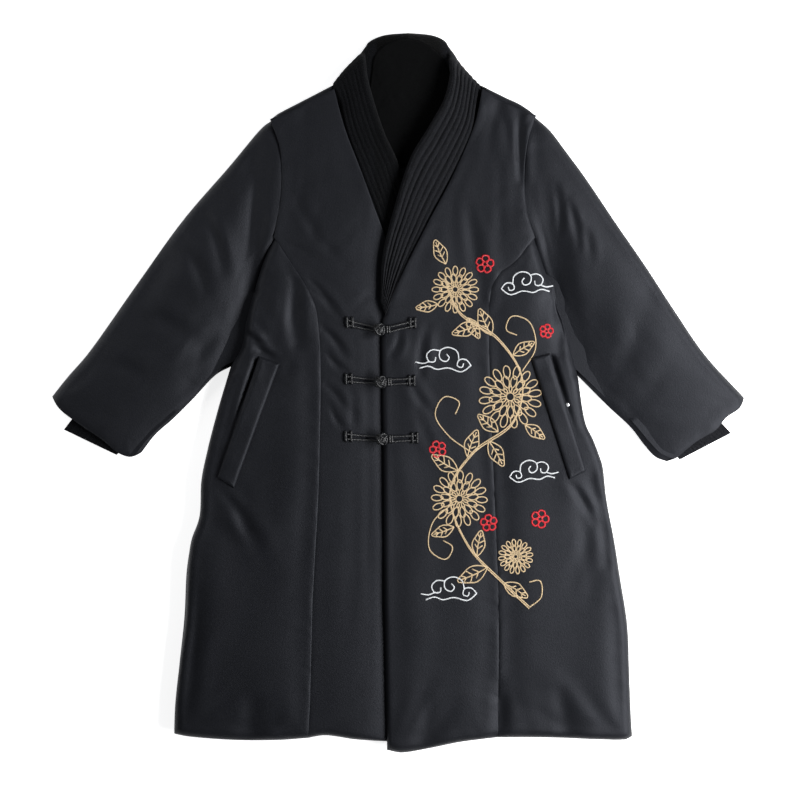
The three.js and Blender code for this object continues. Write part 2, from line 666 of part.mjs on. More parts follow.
// A tube's faces point out on one side of the body and have to be turned on the other
function facingOut(shell, mirrored) {
  if (mirrored) {
    for (let k = 0; k < shell.faces.length; k += 3) {
      [shell.faces[k + 1], shell.faces[k + 2]] = [shell.faces[k + 2], shell.faces[k + 1]];
    }
  }
  return shell.geometry();
}

function sleeve(arm, mirrored) {
  const upperShare = 0.44;
  const sides = {
    top: [stretch(arm.armholeUpper, upperShare, "none"), stretch(arm.armholeLower, 1, "none")],
    bottom: [stretch(arm.sleeveMouth, 1, "none")],
    start: [stretch(arm.sleeveTop, 1, "none")],
    end: [stretch(arm.sleeveUnder, 1, "none")],
  };
  const topLength = arm.sleeveTop.getLength();
  const underLength = arm.sleeveUnder.getLength();
  const across = [
    ...UPPER_STOPS.map((stop) => stop * upperShare),
    ...LOWER_STOPS.slice(1).map((stop) => upperShare + (1 - upperShare) * stop)];
  const stations = [0, 0.02, 0.06, 0.13, 0.24, 0.36, 0.48, 0.6, 0.72, 0.83, 0.92, 0.97, 1];
  const lengthAt = (w) => THREE.MathUtils.lerp(topLength, underLength, w);
  const shortenedBy = (w) => SEAM_INSET / lengthAt(w);
  const placedSides = { ...sides, top: straightened(sides.top, across) };
  const place = (t, w) => betweenSides(placedSides, w, t);
  const widthAt = (t) => place(t, 0).distanceTo(place(t, 1));
  const edges = { start: sides.start, end: sides.end };
  const edgeLines = edgePaths(edges).map(({ path }) => path);
  const mouthLine = edgePaths({ only: sides.bottom })[0].path;
  const seamLines = edgePaths({ only: sides.top }).map(({ path }) => path);
  const troughFrom = 0.35;
  const troughTo = 0.6;
  const seamDepth = (w) => THREE.MathUtils.lerp(SEAM_PINCH, ARMHOLE_TROUGH,
    THREE.MathUtils.smoothstep(w, troughFrom, troughTo));
  const outerAt = (t, w, above) => {
    const inset = t === 0 ? shortenedBy(w) : t;
    const { x, y } = place(inset, w);
    if (w === 0 || w === 1) return { t: inset, w, z: SLEEVE_EDGE_HEIGHT };
    const fromEdge = Math.min(...edgeLines.map((path) => distanceToPath(x, y, path)));
    const reach = 1 - Math.min(fromEdge / ROLL_REACH, 1);
    const round = Math.sqrt(1 - reach * reach);
    if (!above) {
      const flatReach = 1 - Math.min(fromEdge / SLEEVE_UNDER_ROLL, 1);
      return { t: inset, w, z: SLEEVE_EDGE_HEIGHT * (1 - Math.sqrt(1 - flatReach * flatReach)) };
    }
    const fromSeam = Math.min(...seamLines.map((path) => distanceToPath(x, y, path)));
    const fromMouth = distanceToPath(x, y, mouthLine);
    const crown = SLEEVE_EDGE_HEIGHT + (SLEEVE_TOP - SLEEVE_EDGE_HEIGHT) * round;
    const pinch = seamDepth(w) * Math.exp(-fromSeam / ARMHOLE_REACH) * round;
    const hem = SLEEVE_HEM_PINCH * Math.exp(-fromMouth / SLEEVE_HEM_REACH) * round;
    return { t: inset, w, z: crown - pinch - hem - foldAt(x, y) * round };
  };
  const innerAt = (t, w, above) => {
    const inset = t === 0 ? shortenedBy(w) : t;
    const wall = SLEEVE_WALL / widthAt(inset);
    const crowding = 0.3;
    const inside = Math.min(Math.max(w, wall + crowding * w), 1 - wall - crowding * (1 - w));
    const { x, y } = place(inset, inside);
    const fromMouth = distanceToPath(x, y, mouthLine);
    const open = 1 - THREE.MathUtils.smoothstep(fromMouth, SLEEVE_MOUTH_DEPTH - SLEEVE_MOUTH_FADE,
      SLEEVE_MOUTH_DEPTH);
    const half = THREE.MathUtils.lerp(SLEEVE_SLIT, SLEEVE_MOUTH, open) / 2;
    const middle = THREE.MathUtils.lerp(FRONT_BASE - LAYER_SLIT / 2, SLEEVE_TOP / 2, open);
    if (w === 0 || w === 1) return { t: inset, w: inside, z: middle };
    return { t: inset, w: inside, z: middle + (above ? half : -half) };
  };
  return facingOut(flatTube({ pointAt: place, stations, across, outerAt, innerAt }), mirrored);
}

// Ribbed knit cuff: four corners on the surface, from the visible edge to the hidden one
function knitCuff({ edgeUpper, edgeLower, hiddenUpper, hiddenLower }, mirrored) {
  const straight = (a, b) => [stretch(line(a, b), 1, "none")];
  const sides = {
    top: straight(hiddenUpper, hiddenLower),
    bottom: straight(edgeUpper, edgeLower),
    start: straight(hiddenUpper, edgeUpper),
    end: straight(hiddenLower, edgeLower),
  };
  const place = (t, w) => betweenSides(sides, w, t);
  const widthOf = (t) => place(t, 0).distanceTo(place(t, 1));
  const middle = SLEEVE_TOP / 2;
  const steps = 2 * KNIT_RIB_COUNT;
  const across = Array.from({ length: steps + 1 }, (_, k) => k / steps);
  const outerAt = (t, w, above, k) => {
    if (w === 0 || w === 1) return { t, w, z: middle };
    const rib = k % 2 === 1 ? KNIT_RIB : 0;
    const half = KNIT_SLIT / 2 + KNIT_WALL + rib;
    return { t, w, z: middle + (above ? half : -half) };
  };
  const innerAt = (t, w, above) => {
    const wall = KNIT_WALL / widthOf(t);
    const inside = THREE.MathUtils.lerp(wall, 1 - wall, w);
    if (w === 0 || w === 1) return { t, w: inside, z: middle };
    return { t, w: inside, z: middle + (above ? KNIT_SLIT / 2 : -KNIT_SLIT / 2) };
  };
  return facingOut(flatTube({ pointAt: place, stations: [0, 0.5, 1], across, outerAt, innerAt }), mirrored);
}

// Collar halves: a ribbed band swept from the centre of the back to its tip on the front.
// Each row gives the seam edge and the free edge of the band, its thickness at both, and how far
// its middle bows outward.
const RIGHT_COLLAR = [
  { seamX: 16, seamY: 426, seamZ: 7.2, freeX: 16, freeY: 539, freeZ: 7.2, seamT: 14, freeT: 14, bow: 0 },
  { seamX: -22, seamY: 428, seamZ: 7.2, freeX: -18.5, freeY: 536, freeZ: 7.2, seamT: 14, freeT: 14, bow: 0 },
  { seamX: -59, seamY: 434, seamZ: 7.2, freeX: -41, freeY: 527, freeZ: 7.5, seamT: 14, freeT: 14, bow: 0 },
  { seamX: -76, seamY: 440, seamZ: 8, freeX: -48, freeY: 517, freeZ: 10, seamT: 13, freeT: 13, bow: 2 },
  { seamX: -93, seamY: 453, seamZ: 14, freeX: -49, freeY: 505, freeZ: 19, seamT: 12, freeT: 12, bow: 3 },
  { seamX: -93, seamY: 450, seamZ: 20, freeX: -47, freeY: 493, freeZ: 28, seamT: 12, freeT: 12, bow: 2 },
  { seamX: -84, seamY: 428, seamZ: 21, freeX: -44, freeY: 467, freeZ: 32, seamT: 12.5, freeT: 12, bow: 2 },
  { seamX: -77, seamY: 392, seamZ: 21, freeX: -34, freeY: 430, freeZ: 32, seamT: 12.5, freeT: 12, bow: 1 },
  { seamX: -64, seamY: 355, seamZ: 21, freeX: -19, freeY: 385, freeZ: 31, seamT: 12.5, freeT: 11, bow: 0 },
  { seamX: -51, seamY: 318, seamZ: 20.8, freeX: -1, freeY: 347, freeZ: 24, seamT: 12, freeT: 8, bow: 0 },
  { seamX: -32.5, seamY: 271, seamZ: 20, freeX: 9, freeY: 308, freeZ: 18.5, seamT: 10.5, freeT: 5.5, bow: 0 },
  { seamX: -10, seamY: 213, seamZ: 18.6, freeX: 19, freeY: 243, freeZ: 17, seamT: 7.5, freeT: 4, bow: 0 },
  { seamX: 12.5, seamY: 156, seamZ: 16.9, freeX: 24, freeY: 162, freeZ: 16.6, seamT: 4.2, freeT: 3.6, bow: 0 },
];

const LEFT_COLLAR = [
  { seamX: 16, seamY: 426, seamZ: 7.2, freeX: 16, freeY: 539, freeZ: 7.2, seamT: 14, freeT: 14, bow: 0 },
  { seamX: 53, seamY: 428, seamZ: 7.2, freeX: 50, freeY: 536, freeZ: 7.2, seamT: 14, freeT: 14, bow: 0 },
  { seamX: 90, seamY: 434, seamZ: 7.2, freeX: 70, freeY: 528, freeZ: 7.5, seamT: 14, freeT: 14, bow: 0 },
  { seamX: 107, seamY: 441, seamZ: 8, freeX: 77, freeY: 516, freeZ: 10, seamT: 13, freeT: 13, bow: 1 },
  { seamX: 121, seamY: 451, seamZ: 14, freeX: 78, freeY: 501, freeZ: 20, seamT: 12, freeT: 12, bow: 0 },
  { seamX: 121, seamY: 448, seamZ: 20, freeX: 77, freeY: 490, freeZ: 30, seamT: 12, freeT: 12, bow: 0 },
  { seamX: 116, seamY: 422, seamZ: 21.4, freeX: 77, freeY: 467, freeZ: 35, seamT: 12.5, freeT: 12, bow: 1 },
  { seamX: 110, seamY: 388, seamZ: 21.4, freeX: 68, freeY: 433, freeZ: 38, seamT: 12.5, freeT: 12, bow: 1 },
  { seamX: 85, seamY: 330, seamZ: 21.6, freeX: 44, freeY: 390, freeZ: 38, seamT: 12.5, freeT: 12, bow: 0 },
  { seamX: 54, seamY: 268, seamZ: 22, freeX: 19, freeY: 348, freeZ: 35.5, seamT: 12.5, freeT: 12, bow: 0 },
  { seamX: 27, seamY: 214, seamZ: 23.4, freeX: -3, freeY: 281, freeZ: 32.6, seamT: 12, freeT: 12, bow: 0 },
  { seamX: 5, seamY: 169, seamZ: 26, freeX: -22, freeY: 204, freeZ: 31.6, seamT: 11.5, freeT: 11, bow: 0 },
  { seamX: -18.5, seamY: 115, seamZ: 29, freeX: -25, freeY: 136, freeZ: 30.5, seamT: 9, freeT: 9, bow: 0 },
];

function collar(rows, sign) {
  const columns = Object.keys(rows[0]);
  const splines = Object.fromEntries(columns.map((key) => [key, new THREE.SplineCurve(
    rows.map((row, index) => new THREE.Vector2(index, row[key])))]));
  const steps = 2 * (rows.length - 1);
  const bands = Array.from({ length: steps + 1 }, (_, s) => {
    const band = Object.fromEntries(columns.map((key) => [key, splines[key].getPoint(s / steps).y]));
    return { ...band, share: s / steps };
  });
  for (const band of bands) {
    if (band.share === 0) {
      band.seamX += sign * COLLAR_SPLIT * 0.5;
      band.freeX += sign * COLLAR_SPLIT * 0.5;
    }
  }
  const freeEnd = (band) => new THREE.Vector3(band.freeX, band.freeY, band.freeZ);
  const seamEnd = (band) => {
    const seam = new THREE.Vector3(band.seamX, band.seamY, band.seamZ);
    const toFree = freeEnd(band).sub(seam).normalize();
    return seam.addScaledVector(toFree, COLLAR_CLEARANCE);
  };
  const middleOf = (band) => seamEnd(band).add(freeEnd(band)).multiplyScalar(0.5);
  const topSteps = 3 * COLLAR_RIDGES + 2;
  const underSteps = 5;
  const ridgeFrom = 0.05;
  const ridgeTo = 0.93;
  const seamThickness = 0.62;
  const seamWidth = 0.12;
  const roundFrom = 0.86;
  const thicknessShare = (w) => {
    const blunt = seamThickness + (1 - seamThickness) * THREE.MathUtils.smoothstep(w, 0, seamWidth);
    const pastRound = Math.max(w - roundFrom, 0) / (1 - roundFrom);
    return blunt * Math.sqrt(Math.max(1 - pastRound ** 2, 0));
  };
  const ridgeAt = (w, band) => {
    const phase = THREE.MathUtils.clamp((w - ridgeFrom) / (ridgeTo - ridgeFrom), 0, 1);
    const wave = -0.5 * Math.cos(2 * Math.PI * COLLAR_RIDGES * phase);
    const shown = THREE.MathUtils.smoothstep(band.share, 0.27, 0.36);
    const thin = THREE.MathUtils.smoothstep(band.seamT, 5, 11);
    return COLLAR_RIDGE_HEIGHT * wave * shown * thin;
  };
  const shell = new Shell();
  const contours = bands.map((band, s) => {
    const before = middleOf(bands[Math.max(s - 1, 0)]);
    const after = middleOf(bands[Math.min(s + 1, steps)]);
    const along = after.sub(before).normalize();
    const acrossBand = freeEnd(band).sub(seamEnd(band)).normalize();
    const outward = new THREE.Vector3().crossVectors(along, acrossBand).multiplyScalar(-sign).normalize();
    const flatBack = 1 - THREE.MathUtils.smoothstep(band.share, 0.14, 0.24);
    outward.lerp(new THREE.Vector3(0, 0, -1), flatBack).normalize();
    const at = (w, above) => {
      const half = THREE.MathUtils.lerp(band.seamT, band.freeT, w) / 2;
      const bow = band.bow * Math.sin(Math.PI * w);
      const offset = bow + (above ? half * thicknessShare(w) + ridgeAt(w, band) : -half * thicknessShare(w));
      return seamEnd(band).lerp(freeEnd(band), w).addScaledVector(outward, offset);
    };
    const ring = [];
    for (let k = 0; k <= topSteps; k += 1) ring.push(at(k / topSteps, true));
    for (let k = underSteps - 1; k >= 0; k -= 1) ring.push(at(k / underSteps, false));
    return ring.map(({ x, y, z }) => shell.point(x, y, z));
  });
  const size = contours[0].length;
  const flip = sign > 0;
  const face = (a, b, c, d) => (flip ? shell.quad(a, d, c, b) : shell.quad(a, b, c, d));
  for (let s = 1; s <= steps; s += 1) {
    for (let k = 0; k < size; k += 1) {
      const n = (k + 1) % size;
      face(contours[s - 1][k], contours[s][k], contours[s][n], contours[s - 1][n]);
    }
  }
  const closeEnd = (ring, reversed) => {
    const centre = new THREE.Vector3();
    for (const index of ring) centre.add(new THREE.Vector3().fromArray(shell.points, index * 3));
    centre.multiplyScalar(1 / ring.length);
    const hub = shell.point(centre.x, centre.y, centre.z);
    for (let k = 0; k < ring.length; k += 1) {
      const n = (k + 1) % ring.length;
      if (reversed !== flip) shell.triangle(hub, ring[k], ring[n]);
      else shell.triangle(hub, ring[n], ring[k]);
    }
  };
  closeEnd(contours[0], true);
  closeEnd(contours[steps], false);
  return shell.geometry();
}

// Plush lining seen inside the neck
function neckLining() {
  const outline = line([16, 516], [-8, 515], [-26, 505], [-33, 488], [-34, 466], [-40, 444], [-46, 425],
    [-44, 400], [-36, 375], [-15, 345], [6, 335], [28, 352], [60, 372], [76, 400], [84, 430], [78, 462],
    [68, 488], [56, 507], [36, 515]);
  const loopCount = 44;
  const outer = [];
  for (let k = 0; k < loopCount; k += 1) {
    const { x, y } = outline.getPointAt(k / loopCount * 0.99);
    outer.push(new THREE.Vector2(x, y));
  }
  const inner = insetLoop(outer, LINING_PILE);
  const shell = new Shell();
  const base = outer.map(({ x, y }) => shell.point(x, y, LINING_BASE));
  const rim = outer.map(({ x, y }) => shell.point(x, y, LINING_BASE + LINING_PILE * 0.5));
  const top = inner.map(({ x, y }) => shell.point(x, y, LINING_BASE + LINING_PILE));
  const clockwise = THREE.ShapeUtils.area(outer) < 0;
  for (let k = 0; k < loopCount; k += 1) {
    const n = (k + 1) % loopCount;
    const [from, to] = clockwise ? [n, k] : [k, n];
    shell.quad(base[from], base[to], rim[to], rim[from]);
    shell.quad(rim[from], rim[to], top[to], top[from]);
  }
  closeFlat(shell, base, outer, false);
  closeFlat(shell, top, inner, true);
  return shell.geometry();
}

// Pocket welt lying on a side panel
function pocketWelt({ upperIn, upperOut, lowerIn, lowerOut }, carrier) {
  const straight = (a, b) => [stretch(line(a, b), 1, "none")];
  const corners = [upperIn, upperOut, lowerOut, lowerIn];
  const [topStart, topEnd] = upperIn[0] < upperOut[0] ? [upperIn, upperOut] : [upperOut, upperIn];
  const [lowStart, lowEnd] = upperIn[0] < upperOut[0] ? [lowerIn, lowerOut] : [lowerOut, lowerIn];
  const sides = {
    start: straight(topStart, lowStart),
    end: straight(topEnd, lowEnd),
    top: straight(topStart, topEnd),
    bottom: straight(lowStart, lowEnd),
  };
  const columns = [0, 0.12, 0.38, 0.64, 0.88, 1];
  const rows = [0, 0.025, 0.12, 0.22, 0.32, 0.42, 0.52, 0.62, 0.72, 0.82, 0.91, 0.975, 1];
  const border = [...corners, corners[0]].map(([x, y]) => new THREE.Vector3(x, y, 0));
  const under = (x, y) => heightOver([carrier], x, y) + WELT_GAP;
  return padFromGrid(gridOf(sides, columns, rows), {
    topAt: (x, y) => {
      const reach = 1 - Math.min(distanceToPath(x, y, border) / WELT_ROLL_REACH, 1);
      const rise = WELT_EDGE_SHARE + (1 - WELT_EDGE_SHARE) * Math.sqrt(1 - reach * reach);
      return under(x, y) + WELT_THICKNESS * rise;
    },
    underAt: under,
  });
}

// Frog fastenings: double cords from a stitched patch to a knot, and to the loop round it
const FROGS = [
  { name: "top", patchX: -71, patchY: 103, knotX: -27, knotY: 92, loopX: 23, loopY: 102 },
  { name: "middle", patchX: -72.5, patchY: 19, knotX: -25, knotY: 14, loopX: 21.5, loopY: 16 },
  { name: "bottom", patchX: -73, patchY: -67, knotX: -23, knotY: -71, loopX: 26, loopY: -69 },
];
const KNOT_RADII = { x: 9.5, y: 7.6, z: 5.4 };
const KNOT_LIFT = 7.4;
const CORD_SINK_IN_KNOT = 3.4;
const CORD_SINK_IN_PATCH = 1;
const CORD_CLOSING = 0.6;
const LOOP_CLEARANCE = 3;
const LOOP_TURN = 1.6;
const LOOP_WIDENING = 1.1;
const LOOP_GAP = 0.3;
const BUTTON_PATCH = { width: 11, height: 15 };
const LOOP_PATCH = { width: 10, height: 17 };

function cordAlong(points, sides = 6) {
  const shape = new THREE.Shape();
  for (let k = 0; k < sides; k += 1) {
    const angle = (2 * Math.PI * (k + 0.5)) / sides;
    const [x, y] = [Math.cos(angle) * FROG_CORD / 2, Math.sin(angle) * FROG_CORD / 2];
    if (k === 0) shape.moveTo(x, y);
    else shape.lineTo(x, y);
  }
  shape.closePath();
  const path = new THREE.CatmullRomCurve3(points, false, "centripetal");
  return new THREE.ExtrudeGeometry(shape, { steps: 2 * (points.length - 1), bevelEnabled: false,
    extrudePath: path });
}

// Highest ground under a patch
function patchSeat(rest, x, y, { width, height }) {
  const acrossPatch = [-0.45, 0, 0.45];
  return Math.max(...acrossPatch.flatMap((u) => acrossPatch.map((v) => rest(x + u * width, y + v * height))));
}

function patchAt(x, y, z, { width, height }) {
  const shape = new THREE.Shape();
  const corner = 2;
  const [w, h] = [width / 2, height / 2];
  shape.moveTo(-w + corner, -h).lineTo(w - corner, -h).lineTo(w, -h + corner).lineTo(w, h - corner)
    .lineTo(w - corner, h).lineTo(-w + corner, h).lineTo(-w, h - corner).lineTo(-w, -h + corner);
  const geometry = new THREE.ExtrudeGeometry(shape, { depth: FROG_PATCH_THICKNESS, bevelEnabled: false });
  return geometry.translate(x, y, z);
}

function frogButton({ patchX, patchY, knotX, knotY }, ground, upperGround) {
  const rest = (x, y) => heightOver([ground], x, y) + LAID_GAP;
  const patchZ = patchSeat(rest, patchX, patchY, BUTTON_PATCH);
  const knotZ = heightOver([upperGround], knotX + KNOT_RADII.x, knotY) + KNOT_LIFT;
  const cords = [-0.5, 0.5].map((side) => {
    const startY = patchY + side * FROG_CORD_SPACING;
    const endY = knotY + side * FROG_CORD_SPACING * CORD_CLOSING;
    return cordAlong([0, 0.3, 0.55, 0.8, 1].map((share, index) => {
      const x = THREE.MathUtils.lerp(patchX, knotX - FROG_CORD / 2, share);
      const y = THREE.MathUtils.lerp(startY, endY, share);
      const laid = Math.max(rest(x, y), patchZ - CORD_SINK_IN_PATCH) + FROG_CORD / 2;
      const lifted = THREE.MathUtils.lerp(patchZ + FROG_CORD / 2, knotZ - CORD_SINK_IN_KNOT, share ** 3);
      return new THREE.Vector3(x, y, index < 3 ? laid : Math.max(laid - CORD_SINK_IN_PATCH, lifted));
    }));
  });
  const knot = new THREE.SphereGeometry(1, 12, 8);
  knot.scale(KNOT_RADII.x, KNOT_RADII.y, KNOT_RADII.z);
  knot.translate(knotX, knotY, knotZ);
  return join([patchAt(patchX, patchY, patchZ, BUTTON_PATCH), ...cords, knot]);
}

function frogLoop({ knotX, knotY, loopX, loopY }, ground) {
  const rest = (x, y) => heightOver([ground], x, y) + LAID_GAP;
  const patchZ = patchSeat(rest, loopX, loopY, LOOP_PATCH);
  const clearOfKnot = knotX + KNOT_RADII.x + LOOP_CLEARANCE;
  const cordHeight = (x, y) => rest(x, y) + FROG_CORD / 2 + LOOP_GAP;
  const arm = (side) => [1, 0.6, 0.3, 0].map((share) => {
    const x = THREE.MathUtils.lerp(clearOfKnot, loopX, share);
    const spacing = FROG_CORD_SPACING * THREE.MathUtils.lerp(LOOP_WIDENING, 1, share);
    const y = THREE.MathUtils.lerp(knotY, loopY, share) + side * spacing * 0.5;
    return new THREE.Vector3(x, y, cordHeight(x, y));
  });
  const turnX = clearOfKnot - LOOP_TURN;
  const turn = new THREE.Vector3(turnX, knotY, cordHeight(turnX, knotY));
  const loop = [...arm(1), turn, ...arm(-1).reverse()];
  return join([patchAt(loopX, loopY, patchZ, LOOP_PATCH), cordAlong(loop)]);
}

// Domed press stud in the left pocket's mouth: radius and height of its profile
const SNAP = { x: 253.5, y: -20, radius: 3 };
const SNAP_PROFILE = [[0, 0], [2.8, 0], [3, 0.8], [2.4, 2], [1.2, 2.6], [0, 2.8]];

function pocketSnap(carrier) {
  const segments = 16;
  const profile = SNAP_PROFILE.map(([radius, z]) => new THREE.Vector2(radius, z));
  const geometry = new THREE.LatheGeometry(profile, segments);
  geometry.rotateX(Math.PI / 2);
  const under = (dx, dy) => heightOver([carrier], SNAP.x + dx * SNAP.radius, SNAP.y + dy * SNAP.radius);
  const seat = Math.max(under(0, 0), under(1, 0), under(-1, 0), under(0, 1), under(0, -1));
  return geometry.translate(SNAP.x, SNAP.y, seat + LAID_GAP);
}

const RIGHT_WELT = { upperIn: [-177, 40.5], upperOut: [-206, 51.5], lowerIn: [-244, -143],
  lowerOut: [-268, -128] };
const LEFT_WELT = { upperIn: [200, 49], upperOut: [227, 56], lowerIn: [256.5, -130], lowerOut: [280, -118] };

const RIGHT_CUFF = { edgeUpper: [-500, -57], edgeLower: [-421, -95], hiddenUpper: [-459, -3],
  hiddenLower: [-386, -59] };
const LEFT_CUFF = { edgeUpper: [500, -62], edgeLower: [423, -102], hiddenUpper: [460, -20],
  hiddenLower: [385, -62] };

add("back_panel", backPanel(), cloth);
const frontRightCentre = add("front_right_centre", centrePanelRight(), cloth);
const frontRightSide = add("front_right_side", sidePanelRight(), cloth);
const frontLeftCentre = add("front_left_centre", centrePanelLeft(), cloth);
const frontLeftSide = add("front_left_side", sidePanelLeft(), cloth);
add("sleeve_right", sleeve(right, false), cloth);
add("sleeve_left", sleeve(left, true), cloth);
add("cuff_right", knitCuff(RIGHT_CUFF, false), knit);
add("cuff_left", knitCuff(LEFT_CUFF, true), knit);
add("collar_right", collar(RIGHT_COLLAR, -1), knit);
add("collar_left", collar(LEFT_COLLAR, 1), knit);
add("neck_lining", neckLining(), plush);
add("pocket_welt_right", pocketWelt(RIGHT_WELT, frontRightSide), cloth);
add("pocket_welt_left", pocketWelt(LEFT_WELT, frontLeftSide), cloth);
for (const frog of FROGS) {
  add(`frog_button_${frog.name}`, frogButton(frog, frontRightCentre, frontLeftCentre), braid);
  add(`frog_loop_${frog.name}`, frogLoop(frog, frontLeftCentre), braid);
}
add("pocket_snap_left", pocketSnap(frontLeftSide), snapMetal);

export default jacket;
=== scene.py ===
# Long padded jacket in the east Asian style, laid flat with its front up.
# Tables are in millimetres: +Y is the collar end and +X the wearer's left. Meshes are in metres.

import math

import bmesh
import bpy
import numpy as np
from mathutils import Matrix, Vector
from mathutils.bvhtree import BVHTree


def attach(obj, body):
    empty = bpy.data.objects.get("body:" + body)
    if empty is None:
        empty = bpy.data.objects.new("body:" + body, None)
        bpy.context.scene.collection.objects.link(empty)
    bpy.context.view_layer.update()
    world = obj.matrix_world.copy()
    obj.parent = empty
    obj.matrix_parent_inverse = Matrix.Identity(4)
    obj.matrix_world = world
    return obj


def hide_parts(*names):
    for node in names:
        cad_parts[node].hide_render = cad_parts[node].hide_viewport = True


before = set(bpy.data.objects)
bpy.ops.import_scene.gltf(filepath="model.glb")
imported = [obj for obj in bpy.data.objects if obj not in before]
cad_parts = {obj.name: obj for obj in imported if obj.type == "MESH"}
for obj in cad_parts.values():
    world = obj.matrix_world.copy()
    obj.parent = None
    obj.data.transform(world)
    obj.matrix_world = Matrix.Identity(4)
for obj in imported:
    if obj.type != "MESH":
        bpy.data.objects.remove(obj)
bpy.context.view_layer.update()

MM = 0.001

# Camera and light
MM_PER_PIXEL = 1.5
VIEW_CENTRE = (3.75, -12.75)
VIEW_PLANE = 14
PIXELS = 800
LENS = 85
SENSOR = 36
STUDIO_TINT = (0.93, 0.96, 1, 1)


def add_camera():
    data = bpy.data.cameras.new("camera")
    data.lens = LENS
    data.sensor_width = SENSOR
    camera = bpy.data.objects.new("camera", data)
    height = PIXELS * MM_PER_PIXEL * LENS / SENSOR + VIEW_PLANE
    camera.location = (VIEW_CENTRE[0] * MM, VIEW_CENTRE[1] * MM, height * MM)
    bpy.context.scene.collection.objects.link(camera)
    bpy.context.scene.camera = camera


def add_light(name, place, aim, size, watts):
    data = bpy.data.lights.new(name, "AREA")
    data.shape = "RECTANGLE"
    data.size, data.size_y = size
    data.energy = watts
    light = bpy.data.objects.new(name, data)
    light.location = place
    light.rotation_euler = (Vector(aim) - Vector(place)).to_track_quat("-Z", "Y").to_euler()
    light.visible_camera = False
    bpy.context.scene.collection.objects.link(light)


def add_world(overhead, around, lean):
    """Studio with a dark ceiling and bright walls, brightest on one side."""
    world = bpy.data.worlds.new("studio")
    world.use_nodes = True
    nodes, links = world.node_tree.nodes, world.node_tree.links

    def step(operation, first, second):
        node = nodes.new("ShaderNodeMath")
        node.operation = operation
        for socket, value in zip(node.inputs, (first, second)):
            if isinstance(value, bpy.types.NodeSocket):
                links.new(value, socket)
            else:
                socket.default_value = value
        return node.outputs[0]

    parts = nodes.new("ShaderNodeSeparateXYZ")
    links.new(nodes.new("ShaderNodeTexCoord").outputs["Generated"], parts.inputs[0])
    low = step("SUBTRACT", 1, step("MULTIPLY", parts.outputs["Z"], parts.outputs["Z"]))
    wall = step("MULTIPLY", low, step("ADD", 1, step("MULTIPLY", parts.outputs["X"], lean)))
    strength = step("ADD", overhead, step("MULTIPLY", wall, around))
    nodes["Background"].inputs["Color"].default_value = STUDIO_TINT
    links.new(strength, nodes["Background"].inputs["Strength"])
    bpy.context.scene.world = world


# Seams: smooth lines through a few points
class Seam:
    def __init__(self, *points, samples=16):
        given = np.array(points, float)
        p = np.vstack([2 * given[0] - given[1], given, 2 * given[-1] - given[-2]])
        t = np.linspace(0, 1, samples, endpoint=False)[:, None]
        stretches = []
        for before, a, b, after in zip(p, p[1:], p[2:], p[3:]):
            into, over, out = (math.dist(*pair) ** 0.5 for pair in ((before, a), (a, b), (b, after)))
            leave = ((a - before) / into - (b - before) / (into + over) + (b - a) / over) * over
            arrive = ((b - a) / over - (after - a) / (over + out) + (after - b) / out) * over
            stretches.append(hermite(a, b, leave, arrive, t))
        stretches.append(given[-1:])
        self.path = np.vstack(stretches)
        self.run = run_along(self.path)
        self.length = self.run[-1]

    def at(self, share):
        run = np.asarray(share) * self.length
        return np.stack([np.interp(run, self.run, column) for column in self.path.T], axis=-1)


def run_along(path):
    """Distance along a path at each of its points."""
    return np.concatenate([[0], np.cumsum(np.linalg.norm(np.diff(path, axis=0), axis=1))])


def hermite(a, b, leave, arrive, t):
    return (a * (2 * t**3 - 3 * t**2 + 1) + leave * (t**3 - 2 * t**2 + t)
            + b * (3 * t**2 - 2 * t**3) + arrive * (t**3 - t**2))


def spline(values, at):
    """Smooth curve through evenly placed values, read at places between them."""
    p = np.concatenate([[values[0]], values, [values[-1]]])
    i = np.minimum(at.astype(int), len(values) - 2)
    a, b, c, d = p[i], p[i + 1], p[i + 2], p[i + 3]
    return hermite(b, c, (c - a) / 2, (d - b) / 2, (at - i).reshape(-1, *[1] * (values.ndim - 1)))


RIGHT = {
    "shoulder": Seam([-189.5, 406], [-155, 420], [-127, 437], [-95, 451]),
    "armhole_upper": Seam([-189.5, 406], [-175, 364], [-172, 317], [-175, 277], [-184, 230]),
    "armhole_lower": Seam([-184, 230], [-197, 203], [-214.5, 149], [-226, 104], [-233, 65], [-249, 38]),
    "princess": Seam([-184, 230], [-161, 194], [-139, 160], [-124, 130], [-118, 92], [-115, 32],
                     [-116, -58], [-119, -163], [-127, -313], [-131, -463], [-134, -518]),
    "side_edge": Seam([-249, 38], [-268, -26], [-284, -88], [-293, -133], [-296, -188], [-308, -223],
                      [-313.5, -265], [-317, -340], [-325.5, -406], [-332, -466], [-334, -512]),
    "back_edge": Seam([-249, 38], [-268, -26], [-284, -88], [-293, -133], [-296.5, -188], [-308.5, -223],
                      [-316, -265], [-320, -340], [-327, -406], [-333, -466], [-334, -508]),
    "collar_seam": Seam([-95, 451], [-79, 392], [-56, 332], [-34, 272], [-11, 212], [11, 155], [17, 137]),
    "centre_edge": Seam([17, 137], [22.5, 119], [23, 60], [23, -200], [23, -524]),
    "hem_side": Seam([-334, -512], [-311, -516], [-244, -521], [-176, -521], [-134, -518]),
    "hem_centre": Seam([-134, -518], [-109, -514], [-64, -520], [-19, -523], [23, -524]),
    "sleeve_top": Seam([-189.5, 406], [-202, 397], [-253, 337], [-322, 257], [-391, 161], [-466, 55],
                       [-494, 23], [-518, -7]),
    "sleeve_under": Seam([-249, 38], [-272, 25.5], [-307, -11], [-337, -41], [-364, -65], [-384, -91]),
    "sleeve_mouth": Seam([-518, -7], [-505, -26], [-475, -49], [-440, -73], [-418, -92], [-400, -98],
                         [-384, -91]),
}

